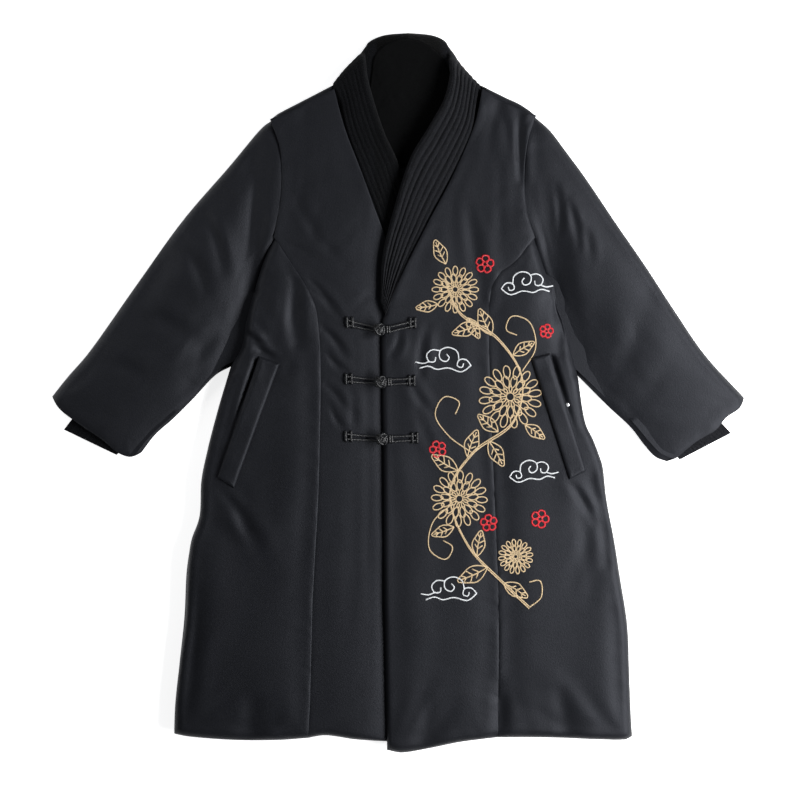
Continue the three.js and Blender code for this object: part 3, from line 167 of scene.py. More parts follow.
LEFT = {
    "shoulder": Seam([127, 451], [152, 434.5], [181, 422], [206, 412]),
    "armhole_upper": Seam([206, 412], [194, 374], [189, 328], [192, 271], [205, 230]),
    "armhole_lower": Seam([205, 230], [212, 205], [224, 172], [236, 151], [239, 124], [247, 104],
                          [256, 70], [269, 25]),
    "princess": Seam([205, 230], [176, 194], [163.5, 184], [153, 177], [145, 164], [140, 151],
                     [136.5, 121], [139, -13], [145, -163], [151, -328], [150, -517]),
    "side_edge": Seam([269, 25], [281.5, -49], [292, -71], [302, -97], [306.5, -112], [312.5, -163],
                      [323.5, -221], [332.5, -278], [343.5, -350], [346.5, -425], [349.5, -497],
                      [351, -516]),
    "back_edge": Seam([269, 25], [281, -49], [291.5, -71], [301.5, -97], [306, -112], [312, -163],
                      [323, -221], [332, -278], [343, -350], [346, -425], [349, -490], [350, -511]),
    "collar_seam": Seam([127, 451], [116, 400], [82, 320], [41, 242], [4, 167], [-19, 113]),
    "centre_edge": Seam([-19, 113], [-22, 104], [-22, -13], [-20.5, -88], [-19, -313], [-15, -535]),
    "hem_centre": Seam([-15, -535], [4, -539], [49, -533], [94, -524], [150, -517]),
    "hem_side": Seam([150, -517], [206, -517], [251, -518], [296, -520], [341, -520], [351, -516]),
    "sleeve_top": Seam([206, 412], [228, 392.5], [253, 360], [281, 322], [331, 248], [371, 190],
                       [418, 118], [461, 55.5], [520, -9]),
    "sleeve_under": Seam([269, 25], [316, -22], [351, -55], [371, -81], [387, -98], [404, -105]),
    "sleeve_mouth": Seam([520, -9], [511, -25], [491, -39], [476, -57], [447, -75], [418, -99], [404, -105]),
}

BACK_RIGHT_SHOULDER = Seam([-190, 408], [-176, 416.5], [-154, 428], [-131, 440], [-109, 451.5], [-91, 461])
BACK_NECK = Seam([-91, 461], [-83, 444], [-67, 433], [-22, 427], [16, 425], [54, 427], [94, 434],
                 [110, 443], [121, 460])
BACK_LEFT_SHOULDER = Seam([121, 460], [140, 450], [161, 439.5], [184, 428.5], [207, 413])
BACK_HEM = Seam([-334, -508], [-311, -512], [-244, -517], [-134, -515], [16, -517], [150, -514],
                [296, -516], [341, -516], [350, -511])

# Heights
SEAM_OVERLAP = 0.6
BACK_LOFT = 14
LAYER_SLIT = 0.6
FRONT_BASE = BACK_LOFT + LAYER_SLIT
FRONT_LOFT = 17
FRONT_TOP = FRONT_BASE + FRONT_LOFT
ROLL_REACH = 14
ROLL_START = 0.3
OVERLAP_CLEARANCE = 0.8
OVERLAP_RISE = 6.6
OVERLAP_FADE = 85
EDGE_CRISPNESS = 2.2
EDGE_THIN = 5.8
EDGE_THIN_REACH = 26
SLEEVE_TOP = 31
SLEEVE_DOME = 6
SLEEVE_FALL = 9
SLEEVE_EDGE_HEIGHT = 12
ARMHOLE_TROUGH = 11
SEAM_PINCH = 2.5

# Edge of the upper layer where the left front and its collar lie on the right ones: y, x
OVERLAP_EDGE = np.array([[-540, -15], [-313, -19], [-88, -20.5], [-13, -22], [107, -22], [137, -25],
                         [205, -22], [280, -10], [347, 8], [392, 46], [433, 68]])
# Highest the lower layer may reach: distance past that edge, height
TUCK = np.array([[-48, 31.6], [-30, 30], [-12, 26.5], [0, 24], [45, 18], [54, 17.6]])
TUCK_END = 80

# Folds: a trough from one point to another, its half width, depth and bow to the side, and the
# share of its depth that stands up as a ridge beside it
FOLD_KEYS = ("from_x", "from_y", "to_x", "to_y", "width", "depth", "bow", "ridge")
FOLDS = [dict(zip(FOLD_KEYS, row)) for row in (
    # Drag lines between the frogs and the right princess seam
    (-128, 163, -86, 112, 5, 2.6, 4, .6),
    (-126, 148, -96, 116, 5, 1.8, 4, .5),
    (-110, 92, -80, 56, 6, 2.4, 3, .6),
    (-102, 52, -78, 32, 5, 2.2, -2, .6),
    (-106, 8, -78, -26, 6, 1.8, 3, .5),
    (-98, -26, -80, -56, 5, 2.0, -2, .5),
    (-70, -2, -66, -58, 7, 1.8, 2, .3),
    (-62, 86, -34, 84, 6, 1.4, 2, .3),
    (-60, 128, -30, 150, 7, 1.6, 2, .4),
    (-44, 150, -43, -420, 9, 2.0, 2, .2),
    # Right chest
    (-136, 412, -148, 276, 12, 2.8, 3, .3),
    (-108, 366, -126, 226, 11, 2.0, 4, .3),
    (-148, 282, -78, 190, 10, 2.4, -7, .4),
    (-166, 220, -120, 196, 8, 1.8, 3, .4),
    # Right side panel
    (-158, 158, -152, 72, 12, 3.6, -3, .5),
    (-156, 64, -172, 14, 16, 3.0, 3, .3),
    (-226, 86, -203, 64, 6, 2.8, 2, .7),
    (-212, 62, -184, 48, 5, 2.2, 2, .6),
    (-196, 168, -206, 100, 10, 2.2, 3, .4),
    # Front panels, long and soft
    (-64, -118, -79, -373, 20, 2.6, 6, .3),
    (-232, -158, -203, -250, 14, 3.2, -5, .4),
    (-262, -150, -226, -206, 8, 1.8, 4, .4),
    (150, 426, 152, 296, 9, 2.2, 2, .4),
    (152, 300, 148, 210, 14, 1.8, 4, .3),
    (112, 300, 124, 140, 13, 2.2, -5, .4),
    (182, 409, 184, 316, 7, 2.2, -2, .6),
    (226, 137, 243, 60, 10, 3.6, 4, .4),
    (289, -133, 312, -255, 12, 3.6, 6, .5),
    (266, -140, 285, -310, 14, 2.8, 6, .4),
    (256, -136, 292, -196, 7, 2.0, 4, .5),
    (150, -440, 150, -520, 12, 2.4, 3, .3),
    (-225, -440, -221, -522, 18, 2.8, 3, .3),
    (244, -430, 258, -520, 18, 2.8, -3, .3),
    (44, -440, 34, -535, 18, 2.6, 3, .3),
    (-300, -300, -312, -470, 12, 2.0, 4, .3),
    (-60, 250, -112, 210, 12, 1.6, 4, .4),
    (4, 88, -8, 56, 6, 1.8, 3, .4),
    (44, 96, 34, 26, 7, 2.2, -3, .4),
    (20, 12, 50, -30, 7, 1.6, -3, .4),
    (30, -30, 58, -96, 9, 1.6, -3, .4),
    # Right sleeve
    (-213, 356, -228, 140, 17, 4.5, 2, .1),
    (-230, 152, -256, 34, 14, 4.0, 4, .4),
    (-289, 265, -262, 186, 9, 2.4, 4, .6),
    (-322, 222, -288, 152, 10, 2.0, 5, .5),
    (-346, 262, -371, 138, 19, 2.4, 6, .4),
    (-375, 108, -305, 78, 14, 2.2, 6, .4),
    (-312, 18, -262, 92, 14, 2.8, 7, .5),
    (-430, 40, -372, 18, 14, 2.0, 4, .4),
    # Left sleeve
    (222, 300, 270, 66, 20, 4.5, -6, .1),
    (236, 304, 243, 240, 6, 1.6, 3, .6),
    (252, 284, 270, 216, 6, 1.8, 4, .6),
    (274, 250, 288, 196, 7, 1.5, 3, .6),
    (290, 150, 306, 30, 22, 2.6, 6, .2),
    (364, 138, 345, 32, 18, 1.6, 5, .5),
    (318, 5, 352, 84, 14, 1.4, -7, .3),
    (352, -28, 395, 34, 14, 1.2, -6, .3),
)]


def smoothstep(value, low, high):
    t = np.clip((value - low) / (high - low), 0, 1)
    return t * t * (3 - 2 * t)


def mix(a, b, share):
    return a + (b - a) * share


def rounded(gap, reach):
    """Quarter circle that rises from 0 at an edge to 1 at the reach."""
    return np.sqrt(1 - (1 - np.minimum(gap / reach, 1)) ** 2)


def crowded(count, share):
    """Even steps from 0 to 1 that close up towards both ends."""
    t = np.linspace(0, 1, count)
    return t - share * np.sin(2 * np.pi * t) / (2 * np.pi)


def stretch(seam, until, first=0.0, last=1.0):
    return seam, until, first, last


def along(side, t):
    """Points on a side that is made of stretches of seam."""
    out = np.empty((len(t), 2))
    start = 0.0
    for seam, until, first, last in side:
        here = (t >= start - 1e-12) & (t <= until + 1e-12)
        share = np.clip((t[here] - start) / (until - start), 0, 1)
        out[here] = seam.at(first + (last - first) * share)
        start = until
    return out


def between(start, end, top, bottom, u, v):
    """Grid of points stretched between four sides, u along top and bottom and v down the sides."""
    start, end, top, bottom = along(start, v), along(end, v), along(top, u), along(bottom, u)
    across, down = u[None, :, None], v[:, None, None]
    corners = (top[0] * (1 - across) * (1 - down) + top[-1] * across * (1 - down)
               + bottom[0] * (1 - across) * down + bottom[-1] * across * down)
    return (mix(start[:, None], end[:, None], across) + mix(top[None], bottom[None], down) - corners)


def stretches_path(side, step=7.0):
    return [seam.at(np.linspace(first, last, max(int(seam.length * abs(last - first) / step), 2)))
            for seam, _, first, last in side]


def paths_of(*sides):
    return [path for side in sides for path in stretches_path(side)]


def near(points, path):
    """Distance of each point to a path, and how far along it the nearest place lies."""
    flat = points.reshape(-1, 2)
    best = np.full(len(flat), np.inf)
    run = np.zeros(len(flat))
    passed = 0.0
    for a, b in zip(path, path[1:]):
        length = math.dist(a, b)
        if length < 1e-9:
            continue
        way = (b - a) / length
        share = np.clip((flat - a) @ way, 0, length)
        gap = np.hypot(*(flat - a - share[:, None] * way).T)
        closer = gap < best
        best[closer] = gap[closer]
        run[closer] = passed + share[closer]
        passed += length
    return best.reshape(points.shape[:-1]), run.reshape(points.shape[:-1])


def nearest(points, paths):
    return np.minimum.reduce([near(points, path)[0] for path in paths])


def ripple(points, wavelength, seed):
    """Smooth uneven relief over the plane, from about -1 to 1."""
    cells = 64
    rng = np.random.default_rng(seed)
    lattice = rng.uniform(-1, 1, (cells, cells))
    turn = rng.uniform(0, np.pi)
    cosine, sine = math.cos(turn), math.sin(turn)
    x = (points[..., 0] * cosine - points[..., 1] * sine) / wavelength
    y = (points[..., 0] * sine + points[..., 1] * cosine) / wavelength
    i, j = np.floor(x).astype(int), np.floor(y).astype(int)
    s, t = smoothstep(x - i, 0, 1), smoothstep(y - j, 0, 1)
    i, j = i % cells, j % cells
    i2, j2 = (i + 1) % cells, (j + 1) % cells
    return mix(mix(lattice[i, j], lattice[i2, j], s), mix(lattice[i, j2], lattice[i2, j2], s), t)


def ripple_along(run, wavelength, seed):
    return ripple(np.stack([run, np.zeros_like(run)], -1), wavelength, seed)


FOLD_GAIN = 1.9
FOLD_END_DEPTH = 0.35
RIDGE_PLACE = 1.7
RIDGE_WIDTH = 1.15


def fold_relief(points):
    """Troughs and ridges of the folds; ridge place and width are in half widths of the trough."""
    relief = np.zeros(points.shape[:-1])
    for fold in FOLDS:
        width = fold["width"]
        start = np.array([fold["from_x"], fold["from_y"]], float)
        way = np.array([fold["to_x"], fold["to_y"]], float) - start
        length = math.hypot(*way)
        way /= length
        offset = points - start
        share = (offset @ way) / length
        inside = np.clip(share, 0, 1)
        across = offset @ np.array([-way[1], way[0]]) - fold["bow"] * 4 * inside * (1 - inside)
        beyond = (share - inside) * length
        gap = np.hypot(across, beyond) / width
        ridge_gap = np.hypot(across / width - RIDGE_PLACE, beyond / width) / RIDGE_WIDTH
        taper = FOLD_END_DEPTH + (1 - FOLD_END_DEPTH) * np.sin(np.pi * np.clip(share, 0.05, 0.95))
        shape = np.exp(-gap**2) - fold["ridge"] * np.exp(-ridge_gap**2)
        relief -= FOLD_GAIN * fold["depth"] * taper * shape
    return relief


# Uneven filling under the cloth: wavelength, height and seed
LOFT_WAVES = ((150, 2.0, 3), (64, 0.7, 4), (28, 0.2, 5))


def padding_relief(points):
    return sum(height * ripple(points, wavelength, seed) for wavelength, height, seed in LOFT_WAVES)


GATHER_HEIGHT = 0.95
GATHER_LEAN = 0.35
GATHER_WAVES = (15, 7)
GATHER_RISE = 2.2
GATHER_REACH = 14
GATHER_REACH_CHANGE = 9
GATHER_REACH_WAVE = 50


def pucker(gap, run, seed):
    """Short gathers across a seam, deepest just beside it."""
    lean = run + GATHER_LEAN * gap
    long, short = GATHER_WAVES
    wave = ripple_along(lean, long, seed) + 0.6 * ripple_along(lean, short, seed + 1)
    reach = GATHER_REACH + GATHER_REACH_CHANGE * ripple_along(run, GATHER_REACH_WAVE, seed + 2)
    return GATHER_HEIGHT * wave * (1 - np.exp(-gap / GATHER_RISE)) * np.exp(-gap / reach)


# Dip of the cloth beside a sewn seam: depth and reach
SEAM_DIPS = ((0.8, 20), (0.9, 2.2))


def seam_rise(gap):
    return 1 - sum(depth * np.exp(-gap / reach) for depth, reach in SEAM_DIPS) / FRONT_LOFT


def turned_rise(gap):
    return ROLL_START + (1 - ROLL_START) * rounded(gap, ROLL_REACH)


def rise_over(points, sewn, turned, seed):
    """Share of full loft over a panel, and the gathers along its seams."""
    rise = np.ones(points.shape[:-1])
    gathers = np.zeros(points.shape[:-1])
    for number, path in enumerate(sewn):
        gap, run = near(points, path)
        rise *= seam_rise(gap)
        gathers += pucker(gap, run, seed + 10 * number)
    for number, path in enumerate(turned):
        gap, run = near(points, path)
        rise *= turned_rise(gap)
        gathers += 0.7 * pucker(gap, run, seed + 10 * number + 5)
    return rise, gathers


# Meshes
def make_piece(name, points, faces, material, lay=None):
    """Smooth mesh on the one body. Its lay is the place of each point on the cloth, for stitches."""
    mesh = bpy.data.meshes.new(name)
    mesh.from_pydata((np.reshape(points, (-1, 3)) * MM).tolist(), [], faces)
    if material:
        mesh.materials.append(material)
    mesh.shade_smooth()
    if lay is not None:
        attribute = mesh.attributes.new("lay", "FLOAT_VECTOR", "POINT")
        attribute.data.foreach_set("vector", np.ravel(lay))
    piece = bpy.data.objects.new(name, mesh)
    bpy.context.scene.collection.objects.link(piece)
    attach(piece, "root")
    return piece


def quad_piece(name, points, faces, material, lay=None):
    """Piece of one shell of quads, turned so that its volume is positive."""
    points = np.reshape(points, (-1, 3))
    a, b, c, d = (points[faces[:, k]] for k in range(4))
    volume = sum(np.einsum("ij,ij->i", a, np.cross(*pair)).sum() for pair in ((b, c), (c, d)))
    return make_piece(name, points, (faces[:, ::-1] if volume < 0 else faces).tolist(), material, lay)


def face_out(piece):
    shell = bmesh.new()
    shell.from_mesh(piece.data)
    bmesh.ops.recalc_face_normals(shell, faces=shell.faces)
    shell.to_mesh(piece.data)
    shell.free()
    return piece


def grid_quads(index):
    return np.stack([index[:-1, :-1], index[1:, :-1], index[1:, 1:], index[:-1, 1:]], -1).reshape(-1, 4)


def border_of(index):
    return np.concatenate([index[:-1, 0], index[-1, :-1], index[:0:-1, -1], index[0, :0:-1]])


def pad_mesh(name, grid, top, under, material):
    """Closed padded panel between two heights over a grid."""
    grid = grid.copy()
    for edge, inner in ((np.s_[0], np.s_[1]), (np.s_[-1], np.s_[-2])):
        for border, next_in in ((grid[edge], grid[inner]), (grid[:, edge], grid[:, inner])):
            inward = next_in - border
            length = np.maximum(np.linalg.norm(inward, axis=-1, keepdims=True), 1e-6)
            border -= inward / length * SEAM_OVERLAP
    count = grid.shape[0] * grid.shape[1]
    upper = np.arange(count).reshape(grid.shape[:2])
    lower = upper + count
    above, below = border_of(upper), border_of(lower)
    walls = np.stack([below, np.roll(below, -1), np.roll(above, -1), above], -1)
    faces = np.concatenate([grid_quads(upper), grid_quads(lower)[:, ::-1], walls])
    points = np.concatenate([np.dstack([grid, height]).reshape(-1, 3) for height in (top, under)])
    return quad_piece(name, points, faces, material)


def tube_mesh(name, outer, inner, material, lay=None):
    """Wall between two tubes of rings, open at both ends."""
    stations, size = outer.shape[:2]
    outside = np.arange(stations * size).reshape(stations, size)
    inside = outside + stations * size
    closed_out = np.hstack([outside, outside[:, :1]])
    closed_in = np.hstack([inside, inside[:, :1]])
    faces = [grid_quads(closed_out), grid_quads(closed_in)[:, ::-1]]
    for end, turned_over in ((0, False), (-1, True)):
        rim = np.stack([closed_out[end, :-1], closed_out[end, 1:], closed_in[end, 1:], closed_in[end, :-1]],
                       -1)
        faces.append(rim[:, ::-1] if turned_over else rim)
    points = np.concatenate([outer.reshape(-1, 3), inner.reshape(-1, 3)])
    return quad_piece(name, points, np.concatenate(faces), material, lay)


def ring_mesh_parts(rings, first_point=0):
    """Points and faces of a solid through closed rings, with a hub at either end."""
    stations, size = rings.shape[:2]
    index = np.arange(stations * size).reshape(stations, size) + first_point
    closed = np.hstack([index, index[:, :1]])
    first_hub = first_point + stations * size
    faces = grid_quads(closed).tolist()
    for hub, ring, order in ((first_hub, closed[0], 1), (first_hub + 1, closed[-1], -1)):
        faces += [[hub, *pair[::order]] for pair in zip(ring[:-1].tolist(), ring[1:].tolist())]
    points = np.concatenate([rings.reshape(-1, 3), rings[0].mean(0)[None], rings[-1].mean(0)[None]])
    return points, faces


def ring_piece(name, rings, material, lay=None):
    points, faces = ring_mesh_parts(rings)
    return face_out(make_piece(name, points, faces, material, lay))


def rope_rings(path, width, height, sides):
    """Rings of an oval section along a path."""
    path = np.asarray(path, float)
    ahead = np.gradient(path, axis=0)
    ahead /= np.maximum(np.linalg.norm(ahead, axis=1, keepdims=True), 1e-9)
    side = np.cross([0.0, 0.0, 1.0], ahead)
    side /= np.maximum(np.linalg.norm(side, axis=1, keepdims=True), 1e-9)
    lift = np.cross(ahead, side)
    angle = 2 * np.pi * (np.arange(sides) + 0.5) / sides
    return (path[:, None] + side[:, None] * (np.cos(angle)[None, :, None] * width / 2)
            + lift[:, None] * (np.sin(angle)[None, :, None] * height / 2))


def joined_ropes(name, ropes, material, sides=8):
    """One piece made of several ropes; each is a path, a width and a height."""
    points, faces, lay, total = [], [], [], 0
    for path, width, height in ropes:
        rings = rope_rings(path, width, height, sides)
        around = np.tile(np.arange(sides) / sides, len(rings))
        place = np.stack([np.repeat(run_along(path), sides), around * width, np.zeros_like(around)], -1)
        part, part_faces = ring_mesh_parts(rings, total)
        points.append(part)
        faces += part_faces
        lay.append(np.vstack([place, place[:1], place[-1:]]))
        total += len(part)
    return face_out(make_piece(name, np.vstack(points), faces, material, np.vstack(lay)))


# Materials
# Sockets of the colour mix node that share their names with others
MIX_FIRST = 6
MIX_SECOND = 7
MIX_RESULT = 2


class Finish:
    """A material's node tree, with short calls to add nodes."""

    def __init__(self, name, color, roughness, **sockets):
        self.material = bpy.data.materials.new(name)
        self.material.use_nodes = True
        self.tree = self.material.node_tree
        self.shader = self.tree.nodes["Principled BSDF"]
        self.shader.inputs["Base Color"].default_value = (*color, 1)
        self.shader.inputs["Roughness"].default_value = roughness
        for socket, value in sockets.items():
            self.shader.inputs[socket.replace("_", " ")].default_value = value
        self.bumps = None

    def node(self, kind, inputs=(), **settings):
        node = self.tree.nodes.new(kind)
        for key, value in settings.items():
            setattr(node, key, value)
        for socket, value in dict(inputs).items():
            if isinstance(value, bpy.types.NodeSocket):
                self.tree.links.new(value, node.inputs[socket])
            else:
                node.inputs[socket].default_value = value
        return node

    def place(self, attribute=None, turn=0.0, scale=(1, 1, 1)):
        if attribute:
            source = self.node("ShaderNodeAttribute", attribute_name=attribute).outputs["Vector"]
        else:
            source = self.node("ShaderNodeTexCoord").outputs["Object"]
        inputs = {"Vector": source, "Rotation": (0, 0, math.radians(turn)), "Scale": scale}
        return self.node("ShaderNodeMapping", inputs).outputs["Vector"]

    def noise(self, place, scale, detail=3.0, roughness=0.5):
        inputs = {"Vector": place, "Scale": scale, "Detail": detail, "Roughness": roughness}
        return self.node("ShaderNodeTexNoise", inputs).outputs["Fac"]

    def wave(self, place, scale, distortion=0.0, detail=0.0):
        inputs = {"Vector": place, "Scale": scale, "Distortion": distortion, "Detail": detail}
        return self.node("ShaderNodeTexWave", inputs).outputs["Fac"]

    def math(self, operation, first, second=0.0):
        return self.node("ShaderNodeMath", {0: first, 1: second}, operation=operation).outputs[0]

    def ramp(self, value, low, high, start=0.0, end=1.0):
        inputs = {"Value": value, "From Min": low, "From Max": high, "To Min": start, "To Max": end}
        return self.node("ShaderNodeMapRange", inputs).outputs["Result"]

    def tint(self, share, first, second):
        inputs = {"Factor": share, MIX_FIRST: (*first, 1), MIX_SECOND: (*second, 1)}
        color = self.node("ShaderNodeMix", inputs, data_type="RGBA").outputs[MIX_RESULT]
        self.tree.links.new(color, self.shader.inputs["Base Color"])

    def roughen(self, roughness):
        self.tree.links.new(roughness, self.shader.inputs["Roughness"])

    def bump(self, height, distance, strength=1.0):
        inputs = {"Height": height, "Distance": distance, "Strength": strength}
        if self.bumps is not None:
            inputs["Normal"] = self.bumps
        self.bumps = self.node("ShaderNodeBump", inputs).outputs["Normal"]
        self.tree.links.new(self.bumps, self.shader.inputs["Normal"])


def shell_cloth():
    """Near-black satin twill with a soft sheen."""
    cloth = Finish("shell_cloth", (0.0062, 0.0067, 0.0085), 0.6, Specular_IOR_Level=0.26,
                   Specular_Tint=(0.86, 0.89, 1, 1))
    place = cloth.place()
    weave = cloth.noise(place, 420, 3, 0.7)
    patchy = cloth.math("MULTIPLY", cloth.noise(place, 16, 5, 0.6), cloth.ramp(weave, 0.3, 0.7, 0.2, 1.8))
    cloth.tint(patchy, first=(0.0042, 0.0046, 0.006), second=(0.0086, 0.0092, 0.0116))
    cloth.bump(cloth.noise(place, 22, 2, 0.5), distance=0.0012, strength=0.15)
    cloth.bump(weave, distance=0.0007, strength=0.55)
    twill = cloth.wave(cloth.place(turn=27), 900)
    warp = cloth.wave(place, 1500)
    woven = cloth.math("MULTIPLY", twill, cloth.ramp(warp, 0, 1, 0.6, 1))
    cloth.bump(woven, distance=0.00004, strength=0.5)
    cloth.roughen(cloth.ramp(cloth.noise(cloth.place(scale=(0.3, 1, 1)), 1400, 2), 0.2, 0.8, 0.5, 0.6))
    return cloth.material


STITCH_WIDTH = 2.3
STITCH_LENGTH = 1.9
STITCH_LEAN = 1.6


def knit_stitches(cloth):
    """Height of knit stitches: leaning halves in columns along the piece."""
    parts = cloth.node("ShaderNodeSeparateXYZ", {0: cloth.place("lay")})
    column = cloth.math("DIVIDE", parts.outputs["Y"], STITCH_WIDTH)
    beside = cloth.math("ABSOLUTE", cloth.math("SUBTRACT", cloth.math("FRACT", column), 0.5))
    row = cloth.math("DIVIDE", parts.outputs["X"], STITCH_LENGTH)
    leaning = cloth.math("ADD", row, cloth.math("MULTIPLY", beside, STITCH_LEAN))
    leg = cloth.math("ABSOLUTE", cloth.math("SINE", cloth.math("MULTIPLY", leaning, math.pi)))
    body = cloth.math("SINE", cloth.math("MULTIPLY", beside, 2 * math.pi))
    return cloth.math("MULTIPLY", leg, cloth.math("ABSOLUTE", body))


# Painted shade at the back of the neck, in metres: its middle, where the painted shade ends to the sides,
# and towards the front
NECK_MIDDLE = 0.0165
NECK_SIDES = (0.046, 0.056)
NECK_FRONT = (0.44, 0.41)
NECK_SHADE = (0.0008, 0.0009, 0.001)
FUZZ_BRIGHTNESS = 1.9


def rib_knit(name, color, gloss, rim):
    """Fuzzy knit with painted shade, near black, at the back of the neck; rim is its brightness at the sides
    of the neck, where the painted shade ends.
    """
    knit = Finish(name, color, 0.85, Specular_IOR_Level=gloss, Sheen_Weight=0.03, Sheen_Roughness=0.5)
    place = knit.place()
    parts = knit.node("ShaderNodeSeparateXYZ", {0: place})
    # Mask of the painted shade: near black around the middle of the back neck, full knit colour towards the
    # sides and the front
    aside = knit.math("ABSOLUTE", knit.math("SUBTRACT", parts.outputs["X"], NECK_MIDDLE))
    in_front = knit.ramp(parts.outputs["Y"], *NECK_FRONT)
    lit = knit.math("MAXIMUM", knit.ramp(aside, *NECK_SIDES, 0, rim), in_front)
    fuzz = knit.ramp(knit.noise(place, 260, 4, 0.65), 0.25, 0.75, 0.3, 1)
    bright = tuple(channel * FUZZ_BRIGHTNESS for channel in color)
    # Painted shade: the knit's colour falls to near black inside the back of the neck
    knit.tint(knit.math("MULTIPLY", fuzz, lit), first=NECK_SHADE, second=bright)
    knit.bump(knit_stitches(knit), distance=0.0007, strength=0.8)
    knit.bump(knit.noise(knit.place("lay", scale=(0.3, 1, 1)), 0.4, 3, 0.7), distance=0.0016, strength=0.9)
    knit.bump(knit.noise(place, 420, 2, 0.6), distance=0.002)
    knit.bump(knit.noise(place, 900, 3, 0.7), distance=0.0005, strength=0.6)
    return knit.material


def plush_cloth():
    plush = Finish("plush_lining", (0.0016, 0.0018, 0.002), 0.95, Specular_IOR_Level=0.06,
                   Sheen_Weight=0.03, Sheen_Roughness=0.6)
    place = plush.place()
    pile = plush.noise(place, 320, 4, 0.7)
    plush.tint(pile, first=(0.0003, 0.0004, 0.0005), second=(0.0018, 0.002, 0.0023))
    plush.bump(plush.noise(place, 420, 4, 0.7), distance=0.0012, strength=0.9)
    return plush.material


def braid_cord():
    cord = Finish("frog_cord", (0.006, 0.0063, 0.0078), 0.34, Specular_IOR_Level=0.6)
    braid = cord.wave(cord.place("lay", turn=50), 0.22)
    cord.tint(braid, first=(0.004, 0.0043, 0.0055), second=(0.01, 0.0105, 0.0125))
    cord.bump(braid, distance=0.0004, strength=0.7)
    return cord.material


def thread(name, dark, light):
    """Satin-stitched thread: close stitches across the line."""
    stitched = Finish(name, light, 0.42, Specular_IOR_Level=0.6, Sheen_Weight=0.25, Sheen_Roughness=0.3)
    stitches = stitched.wave(stitched.place("lay", turn=24), 0.42, 0.6, 1)
    stitched.tint(stitches, dark, light)
    stitched.bump(stitches, distance=0.00035, strength=0.8)
    return stitched.material


def snap_finish():
    snap = Finish("snap_metal", (0.75, 0.76, 0.78), 0.28, Metallic=0.7)
    place = snap.place()
    snap.bump(snap.noise(place, 1500, 2), distance=0.0001, strength=0.4)
    snap.roughen(snap.ramp(snap.noise(place, 700, 3), 0.3, 0.7, 0.2, 0.4))
    return snap.material


def paper_floor():
    floor = Finish("pale_floor", (0.93, 0.93, 0.935), 0.7, Specular_IOR_Level=0.2,
                   Emission_Color=(1, 1, 1, 1), Emission_Strength=0.8)
    floor.bump(floor.noise(floor.place(), 30, 3), distance=0.0004, strength=0.1)
    return floor.material


# Front panels
ARMHOLE_SHARE = 0.19
CORNER = 0.42
COLLAR_SHARE = ARMHOLE_SHARE + (1 - ARMHOLE_SHARE) * ARMHOLE_SHARE
CELL = 4.0
EDGE_ROWS = np.array([0.0006, 0.0016, 0.0028])
RELIEF_FADE = (0.3, 0.8)


def rows_through(stops, length, step=CELL):
    """Rows down a panel that include the given stops, close together at both ends."""
    parts = [np.linspace(a, b, max(int((b - a) * length / step), 2), endpoint=False)
             for a, b in zip(stops, stops[1:])]
    return np.unique(np.concatenate([*parts, [stops[-1]], EDGE_ROWS, 1 - EDGE_ROWS]))


def past_overlap_edge(points):
    return points[..., 0] - np.interp(points[..., 1], *OVERLAP_EDGE.T)


def tuck_top(points):
    return np.interp(past_overlap_edge(points), *TUCK.T)


def upper_underside(points):
    lowering = smoothstep(past_overlap_edge(points), TUCK[-1, 0], TUCK_END)
    return mix(tuck_top(points) + OVERLAP_CLEARANCE, FRONT_BASE, lowering)


def loft_height(grid, sewn, turned_in, seed):
    rise, gathers = rise_over(grid, sewn, turned_in, seed)
    relief = (fold_relief(grid) + padding_relief(grid)) * smoothstep(rise, *RELIEF_FADE)
    return FRONT_BASE + FRONT_LOFT * rise + relief + gathers


class Panel:
    """Upper cloth of a padded piece: its four sides, the shares of its grid lines, and its height."""

    def __init__(self, sides, columns, rows, height, size):
        self.sides, self.columns, self.rows, self.height = sides, columns, rows, height
        self.cells = [max(int(length / SIM_CELL), 4) for length in size]
        self.grid = between(*sides, columns, rows)
        self.top = height(self.grid, columns)

    def slack_cloth(self):
        """Even grid for the simulation, in millimetres."""
        u, v = (np.linspace(0, 1, count) for count in self.cells)
        plan = between(*self.sides, u, v)
        return np.dstack([plan, self.height(plan, u)])

    def move(self, shift):
        """Take over how far the simulated cloth moved."""
        over_rows = spline(shift, self.rows * (len(shift) - 1))
        moved = spline(over_rows.swapaxes(0, 1), self.columns * (shift.shape[1] - 1)).swapaxes(0, 1)
        self.grid = self.grid + moved[..., :2]
        self.top = self.top + moved[..., 2]


SIM_CELL = 5.0
SIM_FRAMES = 20
SIM_SLACK = (0.035, 0.008)
SIM_SETTINGS = {
    "quality": 5,
    "tension_stiffness": 12,
    "compression_stiffness": 12,
    "bending_stiffness": 0.08,
    "use_pressure": True,
    "uniform_pressure_force": 4,
    "vertex_group_mass": "held",
    "vertex_group_shrink": "loose",
    "shrink_min": 0,
    "shrink_max": -0.02,
}
SIM_UNEVEN_WAVE = 60
# How far a point may move, in millimetres, and reaches in cells: of the general swell, which is left
# out, and of the held border
SIM_CAP = 5.0
SIM_SWELL_REACH = 6
SIM_BORDER = 7


def blurred(values, reach):
    """Running mean over rows and columns, taken twice."""
    for _ in range(2):
        for axis in (0, 1):
            spread = [(reach, reach) if k == axis else (0, 0) for k in range(values.ndim)]
            summed = np.cumsum(np.pad(values, spread, mode="reflect"), axis=axis)
            summed = np.concatenate([np.zeros_like(summed.take([0], axis)), summed], axis=axis)
            count = 2 * reach + 1
            size = values.shape[axis]
            values = (summed.take(range(count, count + size), axis) - summed.take(range(size), axis)) / count
    return values


